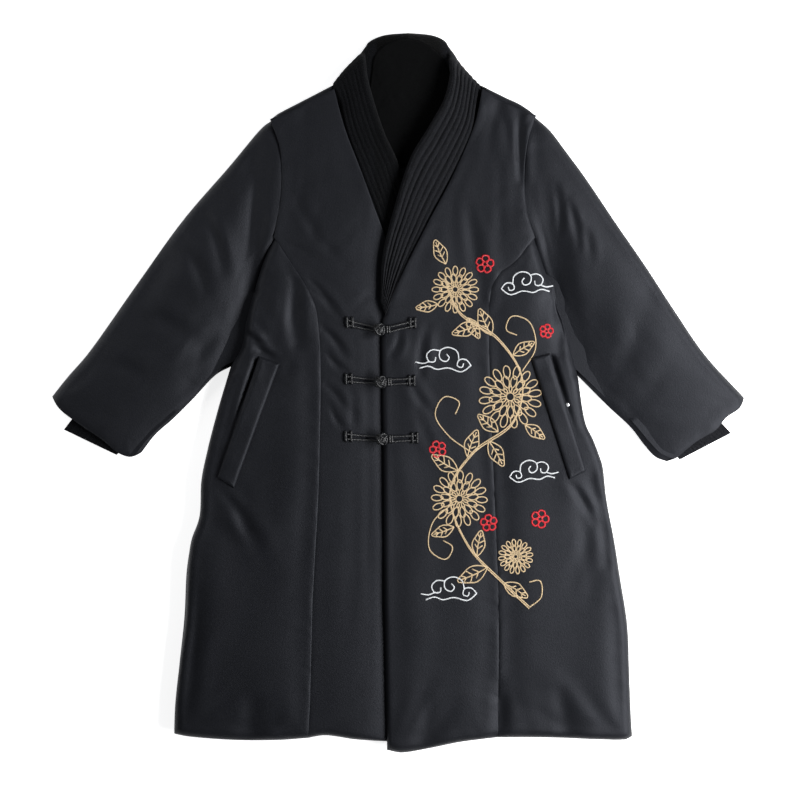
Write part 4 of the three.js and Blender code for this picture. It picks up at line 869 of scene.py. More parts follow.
def slack_piece(number, points):
    """Cloth that is cut a little larger than its place and held along its border."""
    index = np.arange(points.size // 3).reshape(points.shape[:2])
    piece = quad_piece(f"slack_{number}", points, grid_quads(index)[:, ::-1], None)
    piece.shape_key_add(name="sewn")
    cut = piece.shape_key_add(name="cut")
    cut.data.foreach_set("co", (points * [1 + SIM_SLACK[0], 1 + SIM_SLACK[1], 1] * MM).ravel())
    held = piece.vertex_groups.new(name="held")
    held.add(border_of(index).tolist(), 1.0, "REPLACE")
    loose = piece.vertex_groups.new(name="loose")
    uneven = 0.5 + 0.5 * ripple(points[..., :2], SIM_UNEVEN_WAVE, 800 + number)
    for vertex, share in enumerate(uneven.ravel()):
        loose.add([vertex], float(share), "REPLACE")
    cloth = piece.modifiers.new("cloth", "CLOTH")
    for setting, value in SIM_SETTINGS.items():
        setattr(cloth.settings, setting, value)
    cloth.settings.effector_weights.gravity = 0
    cloth.settings.rest_shape_key = cut
    cloth.collision_settings.use_collision = False
    cloth.point_cache.frame_end = SIM_FRAMES
    return piece


def fill_panels(panels):
    """Cloth simulation of every panel at once: slack cloth, held at its seams, filled from below."""
    trials = []
    for number, panel in enumerate(panels):
        points = panel.slack_cloth()
        trials.append((panel, slack_piece(number, points), points))
    for step in range(1, SIM_FRAMES + 1):
        bpy.context.scene.frame_set(step)
    depsgraph = bpy.context.evaluated_depsgraph_get()
    for panel, piece, points in trials:
        flat = np.empty(points.size)
        piece.evaluated_get(depsgraph).data.vertices.foreach_get("co", flat)
        shift = flat.reshape(points.shape) / MM - points
        shift = blurred(shift, 1) - blurred(shift, SIM_SWELL_REACH)
        inward = [np.minimum(np.arange(count), np.arange(count)[::-1]) for count in points.shape[:2]]
        inside = smoothstep(np.minimum(inward[0][:, None], inward[1][None]), 0, SIM_BORDER)
        panel.move(np.clip(shift, -SIM_CAP, SIM_CAP) * inside[..., None])
        bpy.data.objects.remove(piece)
    bpy.context.scene.frame_set(1)


def centre_panel(arm, columns, size, opening_first, height_over):
    """Centre panel of a front. Its height depends on its grid, its sewn seams and its hem."""
    outer = [stretch(arm["armhole_upper"], ARMHOLE_SHARE), stretch(arm["princess"], 1)]
    opening = [stretch(arm["collar_seam"], COLLAR_SHARE), stretch(arm["centre_edge"], 1)]
    top, bottom = [stretch(arm["shoulder"], 1)], [stretch(arm["hem_centre"], 1)]
    sewn = paths_of(outer, top) + [arm["collar_seam"].path[::3]]
    rows = rows_through([0, ARMHOLE_SHARE, COLLAR_SHARE, 1], size[1])

    def height(grid, _):
        return height_over(grid, sewn, paths_of(bottom))

    start, end = (opening, outer) if opening_first else (outer, opening)
    return Panel((start, end, top, bottom), columns, rows, height, size)


TUCK_SOFTNESS = 1.2


def front_right_centre(seed):
    def height(grid, sewn, hem):
        """Keep the lower layer below the upper one, with a soft turn."""
        limit = tuck_top(grid)
        full = loft_height(grid, sewn, hem, seed)
        soft = np.logaddexp(-full / TUCK_SOFTNESS, -limit / TUCK_SOFTNESS)
        return np.minimum(-TUCK_SOFTNESS * soft, limit)

    return centre_panel(RIGHT, crowded(44, 0.7), (165, 960), opening_first=False, height_over=height)


def front_left_centre(seed):
    opening = stretches_path([stretch(LEFT["centre_edge"], 1)])[0]

    def height(grid, sewn, hem):
        full = loft_height(grid, sewn, hem, seed)
        full += OVERLAP_RISE * (1 - smoothstep(past_overlap_edge(grid), 0, OVERLAP_FADE))
        from_edge = near(grid, opening)[0]
        full -= EDGE_THIN * np.exp(-from_edge / EDGE_THIN_REACH)
        return mix(upper_underside(grid), full, turned_rise(from_edge * EDGE_CRISPNESS))

    return centre_panel(LEFT, crowded(54, 0.72), (180, 985), opening_first=True, height_over=height)


def side_panel(side, arm, seed):
    outer = [stretch(arm["armhole_lower"], ARMHOLE_SHARE, CORNER, 1), stretch(arm["side_edge"], 1)]
    inner = [stretch(arm["princess"], 1)]
    bottom = [stretch(arm["hem_side"], 1)]
    if side == "right":
        start, end, top = outer, inner, [stretch(arm["armhole_lower"], 1, CORNER, 0)]
    else:
        start, end, top = inner, outer, [stretch(arm["armhole_lower"], 1, 0, CORNER)]
    size = (190, 760)

    def height(grid, _):
        full = loft_height(grid, paths_of(inner), paths_of(outer, top, bottom), seed)
        return full + mouth_relief(grid, side)

    rows = rows_through([0, ARMHOLE_SHARE, 1], size[1])
    return Panel((start, end, top, bottom), crowded(56, 0.72), rows, height, size)


# Back panel: it lies under the fronts and comes up over both shoulders to meet their seams
NECK_FROM = 0.3
NECK_TO = 0.7
BACK_UPPER = 0.2
BACK_ARMHOLE = 0.4
BACK_FIRST_ROW = 0.02
BACK_LENGTH = 950
BACK_CELL = 7.5
BACK_EDGE_HEIGHT = 6
LIP_ROWS = 9
LIP_GAP = 0.8
LIP_DROP = 3.6
LIP_END_DIP = 0.12
UNDER_LIFT = 3.5
UNDER_REACH = 9
DENT_DEPTH = 1.1


def back_panel(cloth):
    start, end = ([stretch(arm["armhole_upper"], BACK_UPPER), stretch(arm["armhole_lower"], BACK_ARMHOLE),
                   stretch(arm["back_edge"], 1)] for arm in (RIGHT, LEFT))
    seam, outline = ([stretch(right, NECK_FROM), stretch(BACK_NECK, NECK_TO), stretch(left, 1)]
                     for right, left in ((RIGHT["shoulder"], LEFT["shoulder"]),
                                         (BACK_RIGHT_SHOULDER, BACK_LEFT_SHOULDER)))
    bottom = [stretch(BACK_HEM, 1)]
    columns = np.unique(np.concatenate([crowded(86, 0.6), [NECK_FROM, NECK_TO]]))
    rows = rows_through([BACK_FIRST_ROW, BACK_UPPER, BACK_ARMHOLE, 1], BACK_LENGTH, BACK_CELL)
    rows = rows[rows >= BACK_FIRST_ROW]
    inner, outer = along(seam, columns), along(outline, columns)
    at_neck = (columns > NECK_FROM - 1e-9) & (columns < NECK_TO + 1e-9)

    # The lip wraps over each shoulder, from the outline in to the seam
    width = np.maximum(np.linalg.norm(outer - inner, axis=1), 1e-6)[:, None]
    from_end = np.where(columns <= NECK_FROM, columns / NECK_FROM, (1 - columns) / (1 - NECK_TO))
    lip = np.where(at_neck, 0, smoothstep(from_end, 0.01, 0.12) * (1 - smoothstep(from_end, 0.9, 1)))
    turn = np.sin(np.linspace(0, 1, LIP_ROWS) * np.pi / 2)
    lip_heights = 0.5 + 0.5 * turn ** 0.5
    lip_heights[-1] -= LIP_END_DIP
    down = np.array([0, -1.0])
    lip_rows = []
    for step, share in enumerate(turn ** 1.6):
        laid = outer + (inner - outer) * share * (1 - LIP_GAP / width)
        lip_rows.append(np.where(at_neck[:, None], inner + down * step, laid))
    seam_row = inner + np.where(at_neck[:, None], down * LIP_ROWS, [0, 0.2])
    body = between(start, end, seam, bottom, columns, rows)
    grid = np.concatenate([np.stack(lip_rows), seam_row[None], body])

    edge = nearest(grid, paths_of(start, end, bottom))
    top = BACK_EDGE_HEIGHT + (BACK_LOFT - BACK_EDGE_HEIGHT) * rounded(edge, ROLL_REACH)
    lip_top = FRONT_TOP - LIP_DROP - BACK_LOFT
    top[:LIP_ROWS] = BACK_LOFT + lip_top * lip * lip_heights[:, None]
    rim = np.minimum(edge, near(grid, np.vstack(stretches_path(outline)))[0])
    under = UNDER_LIFT * (1 - np.minimum(rim / UNDER_REACH, 1)) ** 2
    dents = np.maximum(ripple(grid, 60, 71) + 0.5 * ripple(grid, 23, 72) - 0.25, 0)
    under += DENT_DEPTH * dents * smoothstep(rim, 4, 40)
    return pad_mesh("back_panel_padded", grid, top, under, cloth)


# Sleeves and cuffs
SLEEVE_WALL = 10
SLEEVE_MOUTH = 7.6
SLEEVE_MOUTH_DEPTH = 92
SLEEVE_SLIT = 0.8
SLEEVE_UPPER_SHARE = 0.44
# Share of the way from the outer to the inner side where the armhole's trough is at its full depth, and
# its reach at either side
TROUGH_FULL = 0.6
TROUGH_REACH = (14, 30)
TROUGH_CREASE = 4
SLEEVE_HEM_DIP = 3.5
SLEEVE_HEM_REACH = 6


def ring_pairs(upper, lower):
    """Closed rings from an upper and a lower row of points that share their ends."""
    return np.concatenate([upper, lower[:, -2:0:-1]], axis=1)


def sleeve_panel(arm, seed):
    """Upper side of a sleeve."""
    start, end = [stretch(arm["sleeve_top"], 1)], [stretch(arm["sleeve_under"], 1)]
    top = [stretch(arm["armhole_upper"], SLEEVE_UPPER_SHARE), stretch(arm["armhole_lower"], 1)]
    bottom = [stretch(arm["sleeve_mouth"], 1)]
    size = (230, 520)
    across = np.unique(np.concatenate([crowded(74, 0.86), [SLEEVE_UPPER_SHARE]]))

    def height(grid, shares):
        seams = [near(grid, path) for path in paths_of(top)]
        from_seam = np.minimum(seams[0][0], seams[1][0])
        from_mouth, mouth_run = near(grid, stretches_path(bottom)[0])
        gathers = sum(pucker(gap, run, seed + 7 * k) for k, (gap, run) in enumerate(seams))
        gathers += 0.8 * pucker(from_mouth, mouth_run, seed + 31)
        relief = fold_relief(grid) + padding_relief(grid) + gathers
        depth = mix(SEAM_PINCH, ARMHOLE_TROUGH, smoothstep(shares, 0.35, TROUGH_FULL))[None]
        reach = mix(*TROUGH_REACH, smoothstep(shares, 0.3, TROUGH_FULL))[None]
        pinch = depth * (0.7 * np.exp(-from_seam / reach) + 0.3 * np.exp(-from_seam / TROUGH_CREASE))
        hem = SLEEVE_HEM_DIP * np.exp(-from_mouth / SLEEVE_HEM_REACH)
        dome = SLEEVE_DOME * (2 * shares[None] - 1) ** 4
        dome = dome + SLEEVE_FALL * smoothstep(shares[None], 0.4, 1)
        round_share = rounded(nearest(grid, paths_of(start, end)), ROLL_REACH)
        crown = SLEEVE_EDGE_HEIGHT + (SLEEVE_TOP - dome - SLEEVE_EDGE_HEIGHT) * round_share
        return crown + (relief - pinch - hem) * round_share

    return Panel((start, end, top, bottom), across, rows_through([0, 1], size[1]), height, size)


def sleeve(name, panel, cloth):
    start, end, top, bottom = panel.sides
    grid, across, stations = panel.grid, panel.columns, panel.rows
    flat_share = rounded(nearest(grid, paths_of(start, end)), ROLL_REACH * 0.6)
    below = SLEEVE_EDGE_HEIGHT * (1 - flat_share)
    outer = ring_pairs(np.dstack([grid, panel.top]), np.dstack([grid, below]))
    width = np.linalg.norm(grid[:, 0] - grid[:, -1], axis=1)
    wall = (SLEEVE_WALL / width)[:, None]
    inside = np.minimum(np.maximum(across[None], wall + 0.3 * across), 1 - wall - 0.3 * (1 - across))
    inner_grid = np.stack([between(start, end, top, bottom, np.concatenate([[0.0], row, [1.0]]),
                                   np.array([0.0, t, 1.0]))[1, 1:-1]
                           for row, t in zip(inside, stations)])
    inner_mouth = near(inner_grid, stretches_path(bottom)[0])[0]
    opened = 1 - smoothstep(inner_mouth, SLEEVE_MOUTH_DEPTH * 0.85, SLEEVE_MOUTH_DEPTH)
    half = mix(SLEEVE_SLIT, SLEEVE_MOUTH, opened) / 2
    half[:, 0] = half[:, -1] = 0
    middle = mix(FRONT_BASE - LAYER_SLIT / 2, SLEEVE_TOP / 2, opened)
    inner = ring_pairs(np.dstack([inner_grid, middle + half]), np.dstack([inner_grid, middle - half]))
    return tube_mesh(name, outer, inner, cloth)


KNIT_WALL = 2.4
KNIT_SLIT = 0.8
KNIT_RIB = 0.6
KNIT_RIB_COUNT = 14
KNIT_EDGE_THIN = 0.7
# Edge at the wrist and hidden edge, each from its upper to its lower corner
CUFF_CORNERS = {
    "right": ([-500, -57], [-421, -95], [-459, -3], [-386, -59]),
    "left": ([500, -62], [423, -102], [460, -20], [385, -62]),
}


def knit_cuff(name, corners, knit):
    edge_upper, edge_lower, hidden_upper, hidden_lower = np.array(corners, float)
    t = np.linspace(0, 1, 24)[:, None, None]
    across = np.linspace(0, 1, KNIT_RIB_COUNT * 12 + 1)
    w = across[None, :, None]

    def place(inset):
        return mix(mix(hidden_upper, hidden_lower, inset), mix(edge_upper, edge_lower, inset), t)

    width = math.dist(edge_upper, edge_lower)
    length = math.dist(mix(hidden_upper, hidden_lower, 0.5), mix(edge_upper, edge_lower, 0.5))
    ribs = np.abs(np.sin(np.pi * KNIT_RIB_COUNT * across)) ** 0.7
    edge_share = rounded(np.minimum(across, 1 - across), 0.02)
    half = ((KNIT_SLIT / 2 + KNIT_WALL + KNIT_RIB * ribs) * edge_share)[None] * np.ones_like(t[..., 0])
    half[-1] -= KNIT_EDGE_THIN * edge_share
    slit = np.full_like(half, KNIT_SLIT / 2)
    slit[:, 0] = slit[:, -1] = 0
    wall = KNIT_WALL / width
    middle = SLEEVE_TOP / 2
    outer, inner = (ring_pairs(np.dstack([plan, middle + gap]), np.dstack([plan, middle - gap]))
                    for plan, gap in ((place(w), half), (place(mix(wall, 1 - wall, w)), slit)))
    run = np.broadcast_to(t[..., 0] * length, half.shape)
    spread = np.broadcast_to(across[None] * width, half.shape)
    lay = np.dstack([run, spread, np.zeros_like(run)])
    rings = ring_pairs(lay, lay)
    piece = tube_mesh(name, outer, inner, knit, np.concatenate([rings.reshape(-1, 3)] * 2))
    return piece, width, length


# Collar halves, from the centre of the back to the tip on the front. Each row gives the seam edge
# and the free edge of the band, its thickness at both, and how far its middle bows outward.
COLLAR_KEYS = ("seam_x", "seam_y", "seam_z", "free_x", "free_y", "free_z", "seam_t", "free_t", "bow")
RIGHT_COLLAR = (
    (16, 426, 7.2, 16, 539, 7.2, 14, 14, 0),
    (-22, 428, 7.2, -18.5, 536, 7.2, 14, 14, 0),
    (-59, 434, 7.2, -41, 527, 7.5, 14, 14, 0),
    (-76, 440, 8, -48, 517, 10, 13, 13, 2),
    (-93, 453, 14, -49, 505, 19, 12, 12, 3),
    (-93, 450, 20, -47, 493, 28, 12, 12, 2),
    (-84, 428, 21, -44, 467, 32, 12.5, 12, 2),
    (-77, 392, 21, -34, 430, 32, 12.5, 12, 1),
    (-64, 355, 21, -19, 385, 31, 12.5, 11, 0),
    (-51, 318, 20.8, -1, 347, 24, 12, 8, 0),
    (-32.5, 271, 20, 9, 308, 18.5, 10.5, 5.5, 0),
    (-10, 213, 18.6, 19, 243, 17, 7.5, 4, 0),
    (12.5, 156, 16.9, 24, 162, 16.6, 4.2, 3.6, 0),
)
LEFT_COLLAR = (
    (16, 426, 7.2, 16, 539, 7.2, 14, 14, 0),
    (53, 428, 7.2, 50, 536, 7.2, 14, 14, 0),
    (90, 434, 7.2, 70, 528, 7.5, 14, 14, 0),
    (107, 441, 8, 77, 516, 10, 13, 13, 1),
    (121, 451, 14, 78, 501, 20, 12, 12, 0),
    (121, 448, 20, 77, 490, 30, 12, 12, 0),
    (116, 422, 21.4, 77, 467, 35, 12.5, 12, 1),
    (110, 388, 21.4, 68, 433, 38, 12.5, 12, 1),
    (85, 330, 21.6, 44, 390, 38, 12.5, 12, 0),
    (54, 268, 22, 19, 348, 35.5, 12.5, 12, 0),
    (27, 214, 23.4, -3, 281, 32.6, 12, 12, 0),
    (5, 169, 26, -22, 204, 31.6, 11.5, 11, 0),
    (-18.5, 115, 29, -25, 136, 30.5, 9, 9, 0),
)
COLLAR_RIDGES = 7
COLLAR_RIDGE_HEIGHT = {"right": 0.9, "left": 1.9}
DEEP_GROOVES = (2, 5)
GROOVE_DEPTH = 0.5
COLLAR_RIM = 1.2
COLLAR_SPLIT = -0.6
COLLAR_TUCKED = 2.0
QUILT_STITCH = 4.5
QUILT_STITCH_HEIGHT = 0.16
# Shares of the band's width: its quilted part, where the rounded tip starts, and its blunt seam edge
QUILT_FROM = 0.05
QUILT_TO = 0.93
TIP_FROM = 0.86
BLUNT_EDGE = 0.62
BLUNT_REACH = 0.12
# Width that the pattern across the band is drawn for
BAND_WIDTH = 60


def collar(name, rows, sign, ridge_height, knit):
    at = np.linspace(0, len(rows) - 1, 20 * (len(rows) - 1) + 1)
    share = at / (len(rows) - 1)
    band = {key: spline(np.array(column, float), at) for key, column in zip(COLLAR_KEYS, zip(*rows))}
    seam, free = (np.stack([band[f"{edge}_{axis}"] for axis in "xyz"], -1) for edge in ("seam", "free"))
    seam[0, 0] += sign * COLLAR_SPLIT / 2
    free[0, 0] += sign * COLLAR_SPLIT / 2
    toward = free - seam
    toward /= np.linalg.norm(toward, axis=1, keepdims=True)
    seam = seam - toward * COLLAR_TUCKED
    middle = (seam + free) / 2
    ahead = np.gradient(middle, axis=0)
    outward = np.cross(ahead, free - seam) * -sign
    outward /= np.linalg.norm(outward, axis=1, keepdims=True)
    flat_back = (1 - smoothstep(share, 0.14, 0.24))[:, None]
    outward = mix(outward, np.array([0, 0, -1.0]), flat_back)
    outward /= np.linalg.norm(outward, axis=1, keepdims=True)
    run = run_along(middle)

    def quilting(w):
        """Ridges, their stitches and the rim of the outer face."""
        def uneven(wavelength, seed):
            return ripple(np.dstack(np.broadcast_arrays(run[:, None], w * BAND_WIDTH)), wavelength, seed)

        inside = (w > QUILT_FROM) & (w < QUILT_TO)
        phase = COLLAR_RIDGES * (w - QUILT_FROM) / (QUILT_TO - QUILT_FROM) + 0.05 * uneven(24, 44)
        ridge = np.abs(np.sin(np.pi * phase)) ** 0.8 * inside
        shown = smoothstep(share, 0.2, 0.26) * mix(0.25, 1, smoothstep(share, 0.3, 0.5))
        shown = (shown * smoothstep(band["seam_t"], 5, 11))[:, None]
        stitch = QUILT_STITCH_HEIGHT * np.cos(2 * np.pi * run / QUILT_STITCH)[:, None]
        stitch = stitch * np.exp(-(ridge / 0.35) ** 2)
        deeper = sum(np.exp(-((phase - groove) / 0.3) ** 2) for groove in DEEP_GROOVES)
        raised = ridge_height * (ridge * (1 + 0.25 * uneven(17, 41)) - 0.55 - GROOVE_DEPTH * deeper)
        rim = COLLAR_RIM * np.exp(-((w - QUILT_TO) / 0.05) ** 2) * shown
        return (raised + stitch) * shown * inside, rim, 0.3 * uneven(34, 43) * inside

    def surface(w, above):
        w = w[None]
        half = mix(band["seam_t"][:, None], band["free_t"][:, None], w) / 2
        blunt = BLUNT_EDGE + (1 - BLUNT_EDGE) * smoothstep(w, 0, BLUNT_REACH)
        tip = np.sqrt(np.clip(1 - (np.maximum(w - TIP_FROM, 0) / (1 - TIP_FROM)) ** 2, 0, 1))
        offset = band["bow"][:, None] * np.sin(np.pi * w) + (1 if above else -1) * half * blunt * tip
        if above:
            for relief in quilting(w):
                offset = offset + relief
        return mix(seam[:, None], free[:, None], w[..., None]) + outward[:, None] * offset[..., None]

    over = np.linspace(0, 1, 112)
    under = np.linspace(1, 0, 26)[1:]
    rings = np.concatenate([surface(over, True), surface(under, False)], axis=1)
    spread = np.concatenate([over, under])[None] * BAND_WIDTH
    lay = np.dstack(np.broadcast_arrays(run[:, None], spread, 0 * run[:, None])).reshape(-1, 3)
    return ring_piece(name, rings, knit, np.vstack([lay, lay[:1], lay[-1:]]))


# Plush lining seen inside the neck
LINING_OUTLINE = Seam([16, 530], [-4, 526], [-24, 516], [-36, 500], [-39, 480], [-42, 455], [-46, 425],
                      [-44, 400], [-36, 375], [-15, 345], [6, 335], [28, 352], [60, 372], [76, 400],
                      [84, 430], [82, 462], [75, 488], [60, 510], [36, 525], [16, 530])
LINING_CENTRE = np.array([16, 440.0])
LINING_BASE = BACK_LOFT + 0.4
LINING_PILE = 2.6
LINING_SINK = 0.4


def neck_lining(plush):
    count = 150
    ring = LINING_OUTLINE.at(np.arange(count) / count)
    shares = np.linspace(0, 1, 46)[1:]
    grid = LINING_CENTRE + (ring[None] - LINING_CENTRE) * shares[:, None, None]
    edge = near(grid, LINING_OUTLINE.path)[0]
    bumps = 0.55 * ripple(grid, 9, 51) + 0.35 * ripple(grid, 4.5, 52)
    top = LINING_BASE + LINING_PILE * rounded(edge, 3) + bumps * smoothstep(edge, 0, 4) - LINING_SINK
    outer_ring = np.dstack([ring[None], np.full((1, count), LINING_BASE)])
    inner_ring = outer_ring * [0.5, 0.5, 1] + [*(LINING_CENTRE / 2), 0]
    rings = np.concatenate([np.dstack([grid, top]), outer_ring, inner_ring])
    return ring_piece("neck_lining_plush", rings, plush)


# What lies on the panels
RAY_START = 0.2


class Ground:
    """Height of the finished cloth."""

    def __init__(self, pieces):
        points, faces = [], []
        for piece in pieces:
            faces.extend([[k + len(points) for k in face.vertices] for face in piece.data.polygons])
            points.extend(vertex.co.copy() for vertex in piece.data.vertices)
        self.tree = BVHTree.FromPolygons(points, faces)

    def height(self, x, y):
        hit = self.tree.ray_cast(Vector((x * MM, y * MM, RAY_START)), Vector((0, 0, -1)))[0]
        return hit.z / MM if hit else 0.0

    def laid(self, path, lift=0.0, smoothing=0):
        """A flat path laid on the cloth."""
        path = np.asarray(path, float)
        z = np.array([self.height(x, y) for x, y in path])
        for _ in range(smoothing):
            z = np.maximum(z, np.convolve(np.pad(z, 1, mode="edge"), [0.25, 0.5, 0.25], "valid"))
        return np.column_stack([path, z + lift])


# Upper inner, upper outer, lower inner and lower outer corner
WELTS = {
    "right": ((-177, 40.5), (-206, 51.5), (-244, -143), (-268, -128)),
    "left": ((200, 49), (227, 56), (256.5, -130), (280, -118)),
}
WELT_THICKNESS = 4.5
WELT_ROUNDING = 5
LAID_GAP = 0.35
MOUTH_WIDTH = 3.6
MOUTH_DEPTH = 9


def mouth_relief(grid, side):
    """Cloth falling away beside a welt's outer edge, where the pocket gapes."""
    top, bottom = np.array(WELTS[side][1::2], float)
    gap, run = near(grid, np.array([top, bottom]))
    share = run / math.dist(top, bottom)
    outward = (grid[..., 0] - mix(top[0], bottom[0], share)) * math.copysign(1, top[0])
    beside = np.exp(-((outward - 0.5 * MOUTH_WIDTH) / MOUTH_WIDTH) ** 2) * (gap < 4 * MOUTH_WIDTH)
    return -MOUTH_DEPTH * beside * smoothstep(share, 0.0, 0.04) * (1 - smoothstep(share, 0.15, 0.75))


def pocket_welt(name, corners, ground, cloth, seed):
    upper_in, upper_out, lower_in, lower_out = np.array(corners, float)
    if upper_in[0] > upper_out[0]:
        upper_in, upper_out, lower_in, lower_out = upper_out, upper_in, lower_out, lower_in
    u, v = crowded(18, 0.7)[None, :, None], crowded(64, 0.8)[:, None, None]
    grid = mix(mix(upper_in, upper_out, u), mix(lower_in, lower_out, u), v)
    heights = np.array([[ground.height(x, y) for x, y in row] for row in grid])
    under = np.maximum(heights, np.median(heights, axis=1, keepdims=True) - 0.5) + LAID_GAP
    gap, run = near(grid, np.array([upper_in, upper_out, lower_out, lower_in, upper_in]))
    edge_share = rounded(gap, WELT_ROUNDING)
    top = under + WELT_THICKNESS * (0.4 + 0.6 * edge_share) + 0.5 * pucker(gap, run, seed) * edge_share
    return pad_mesh(name, grid, top, under, cloth)


# Frogs: the bound end on the right front, the knot, and the bound end on the left front
FROG_KEYS = ("name", "patch_x", "patch_y", "knot_x", "knot_y", "loop_x", "loop_y")
FROGS = [dict(zip(FROG_KEYS, row)) for row in (
    ("top", -71, 103, -27, 92, 23, 102),
    ("middle", -72.5, 19, -25, 14, 21.5, 16),
    ("bottom", -73, -67, -23, -71, 26, -69),
)]
FROG_CORD = 3.4
FROG_SPACING = 7.4
KNOT_RADII = np.array([9.8, 8.6, 5.8])
KNOT_LIFT = 7.4
KNOT_LEADS = 5
KNOT_BIGHTS = 4
KNOT_SLANT = 0.95
KNOT_SWELL = 0.13
WRAP_WIDTH = 3.2
WRAP_HEIGHT = 2.4
WRAP_LENGTH = 16
END_WIDTH = {"button": 11.5, "loop": 10.5}
HEART_HALF_LENGTH = 5.5
HEART_SHARES = (1.7, 1.9)
# Second binding of the loop, close to the knot
BINDING_PLACE = 4.5
BINDING_WIDTH = 7.5
BINDING_LENGTH = 11
BINDING_WRAP = 4.2


def woven_knot(centre):
    """Round button knot: one cord woven five times round the cord's own line."""
    s = np.linspace(0, 2 * np.pi * KNOT_LEADS, 240)
    slant = KNOT_SLANT * np.cos(KNOT_BIGHTS * s / KNOT_LEADS)
    swell = 1 + KNOT_SWELL * np.sin(2 * KNOT_BIGHTS * s / KNOT_LEADS)
    core = KNOT_RADII - FROG_CORD * 0.25
    x = core[0] * np.sin(slant)
    y = core[1] * np.cos(slant) * np.cos(s) * swell
    z = core[2] * np.cos(slant) * np.sin(s) * swell
    return np.column_stack([x, y, z]) + centre


def wrapped_end(x, y, ground, width, height, thick=WRAP_WIDTH):
    """Cord end bound twice across the cords."""
    ropes = []
    for side in (-0.5, 0.5):
        middle = x + side * (width - thick)
        ys = np.linspace(-height / 2, height / 2, 14)
        z = np.array([ground.height(middle, y + dy) for dy in ys])
        arch = np.sqrt(np.clip(1 - (ys / (height / 2)) ** 2, 0, 1))
        path = np.column_stack([np.full_like(ys, middle), y + ys, z.max() + 1.0 + WRAP_HEIGHT * arch ** 0.5])
        ropes.append((path, thick, WRAP_HEIGHT))
    return ropes


def frog_button(spec, knot, ground, cord):
    centre = np.array([*knot, ground.height(knot[0] + KNOT_RADII[0], knot[1]) + KNOT_LIFT])
    ropes = []
    for side in (-0.5, 0.5):
        start = np.array([spec["patch_x"] - 5, spec["patch_y"] + side * FROG_SPACING])
        end = knot + [-5, side * FROG_SPACING * 0.7]
        share = np.linspace(0, 1, 22)
        path = ground.laid(mix(start, end, share[:, None]), FROG_CORD / 2 + 0.2, 4)
        path[:, 2] = np.maximum(path[:, 2], mix(path[:, 2], centre[2] - 1.5, share ** 4))
        ropes.append((path, FROG_CORD, FROG_CORD))
    ropes += wrapped_end(spec["patch_x"], spec["patch_y"], ground, END_WIDTH["button"], WRAP_LENGTH)
    ropes.append((woven_knot(centre), FROG_CORD, FROG_CORD))
    heart = np.linspace([-HEART_HALF_LENGTH, 0, 0], [HEART_HALF_LENGTH, 0, 0], 5) + centre
    ropes.append((heart, KNOT_RADII[1] * HEART_SHARES[0], KNOT_RADII[2] * HEART_SHARES[1]))
    return joined_ropes(f"frog_button_{spec['name']}_cord", ropes, cord)


def frog_loop(spec, knot, ground, cord):
    clear = knot[0] + KNOT_RADII[0] - 1.5
    mouth = [np.array([spec["loop_x"] + 4, spec["loop_y"] + side * FROG_SPACING / 2]) for side in (1, -1)]
    bend = [np.array([clear + 4, knot[1] + side * FROG_SPACING * 0.42]) for side in (1, -1)]
    flat = Seam(mouth[0], mix(mouth[0], bend[0], 0.6), bend[0], [clear, knot[1]], bend[1],
                mix(mouth[1], bend[1], 0.6), mouth[1]).at(np.linspace(0, 1, 52))
    ropes = [(ground.laid(flat, FROG_CORD / 2 + 0.3, 4), FROG_CORD, FROG_CORD)]
    ropes += wrapped_end(spec["loop_x"], spec["loop_y"], ground, END_WIDTH["loop"], WRAP_LENGTH)
    ropes += wrapped_end(clear + BINDING_PLACE, knot[1], ground, BINDING_WIDTH, BINDING_LENGTH, BINDING_WRAP)
    return joined_ropes(f"frog_loop_{spec['name']}_cord", ropes, cord)


def frog(spec, ground, cord):
    knot = np.array([spec["knot_x"], spec["knot_y"]], float)
    for part, made in (("button", frog_button), ("loop", frog_loop)):
        piece = made(spec, knot, ground, cord)
        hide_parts(f"frog_{part}_{spec['name']}")


# Embroidery: a climbing branch of chrysanthemums with clouds and small red blossoms
def turned(points, degrees, scale, place):
    angle = math.radians(degrees)
    matrix = np.array([[math.cos(angle), math.sin(angle)], [-math.sin(angle), math.cos(angle)]])
    return np.asarray(points, float) @ matrix * scale + np.asarray(place, float)


def loop_through(points, count=26):
    return Seam(*points).at(np.linspace(0, 1, count))


PETAL = ((0, 0), (0.2, 0.16), (0.62, 0.24), (0.93, 0.13), (1, 0), (0.93, -0.13), (0.62, -0.24),
         (0.2, -0.16), (0, 0))
LEAF = ((0, 0), (0.18, 0.15), (0.45, 0.26), (0.72, 0.17), (1, 0), (0.74, -0.14), (0.46, -0.23),
        (0.18, -0.14), (0, 0))
RED_PETAL = ((0.2, 0), (0.5, 0.38), (0.95, 0.3), (1, 0), (0.95, -0.3), (0.5, -0.38), (0.2, 0))
CLOUD = (
    ((-1.0, -0.15), (-0.75, 0.1), (-0.45, 0.05), (-0.4, -0.2), (-0.62, -0.25), (-0.66, -0.08)),
    ((-0.45, 0.05), (-0.35, 0.42), (0.05, 0.58), (0.4, 0.4), (0.38, 0.05), (0.1, -0.05), (-0.02, 0.14),
     (0.12, 0.28)),
    ((0.4, 0.4), (0.75, 0.42), (0.98, 0.18), (0.85, -0.1), (0.6, -0.08), (0.58, 0.12)),
    ((-1.0, -0.15), (-0.6, -0.45), (0.0, -0.32), (0.5, -0.42), (0.85, -0.3), (1.25, -0.42)),
    ((0.85, -0.1), (1.1, -0.2), (1.45, -0.16)),
)


# Rings of a chrysanthemum: outer radius as a share of the whole, and petals
FLOWER_RINGS = ((0.34, 9), (0.68, 13), (1.0, 16))
FLOWER_HEART = 0.13
FIRST_PETAL = 0.16


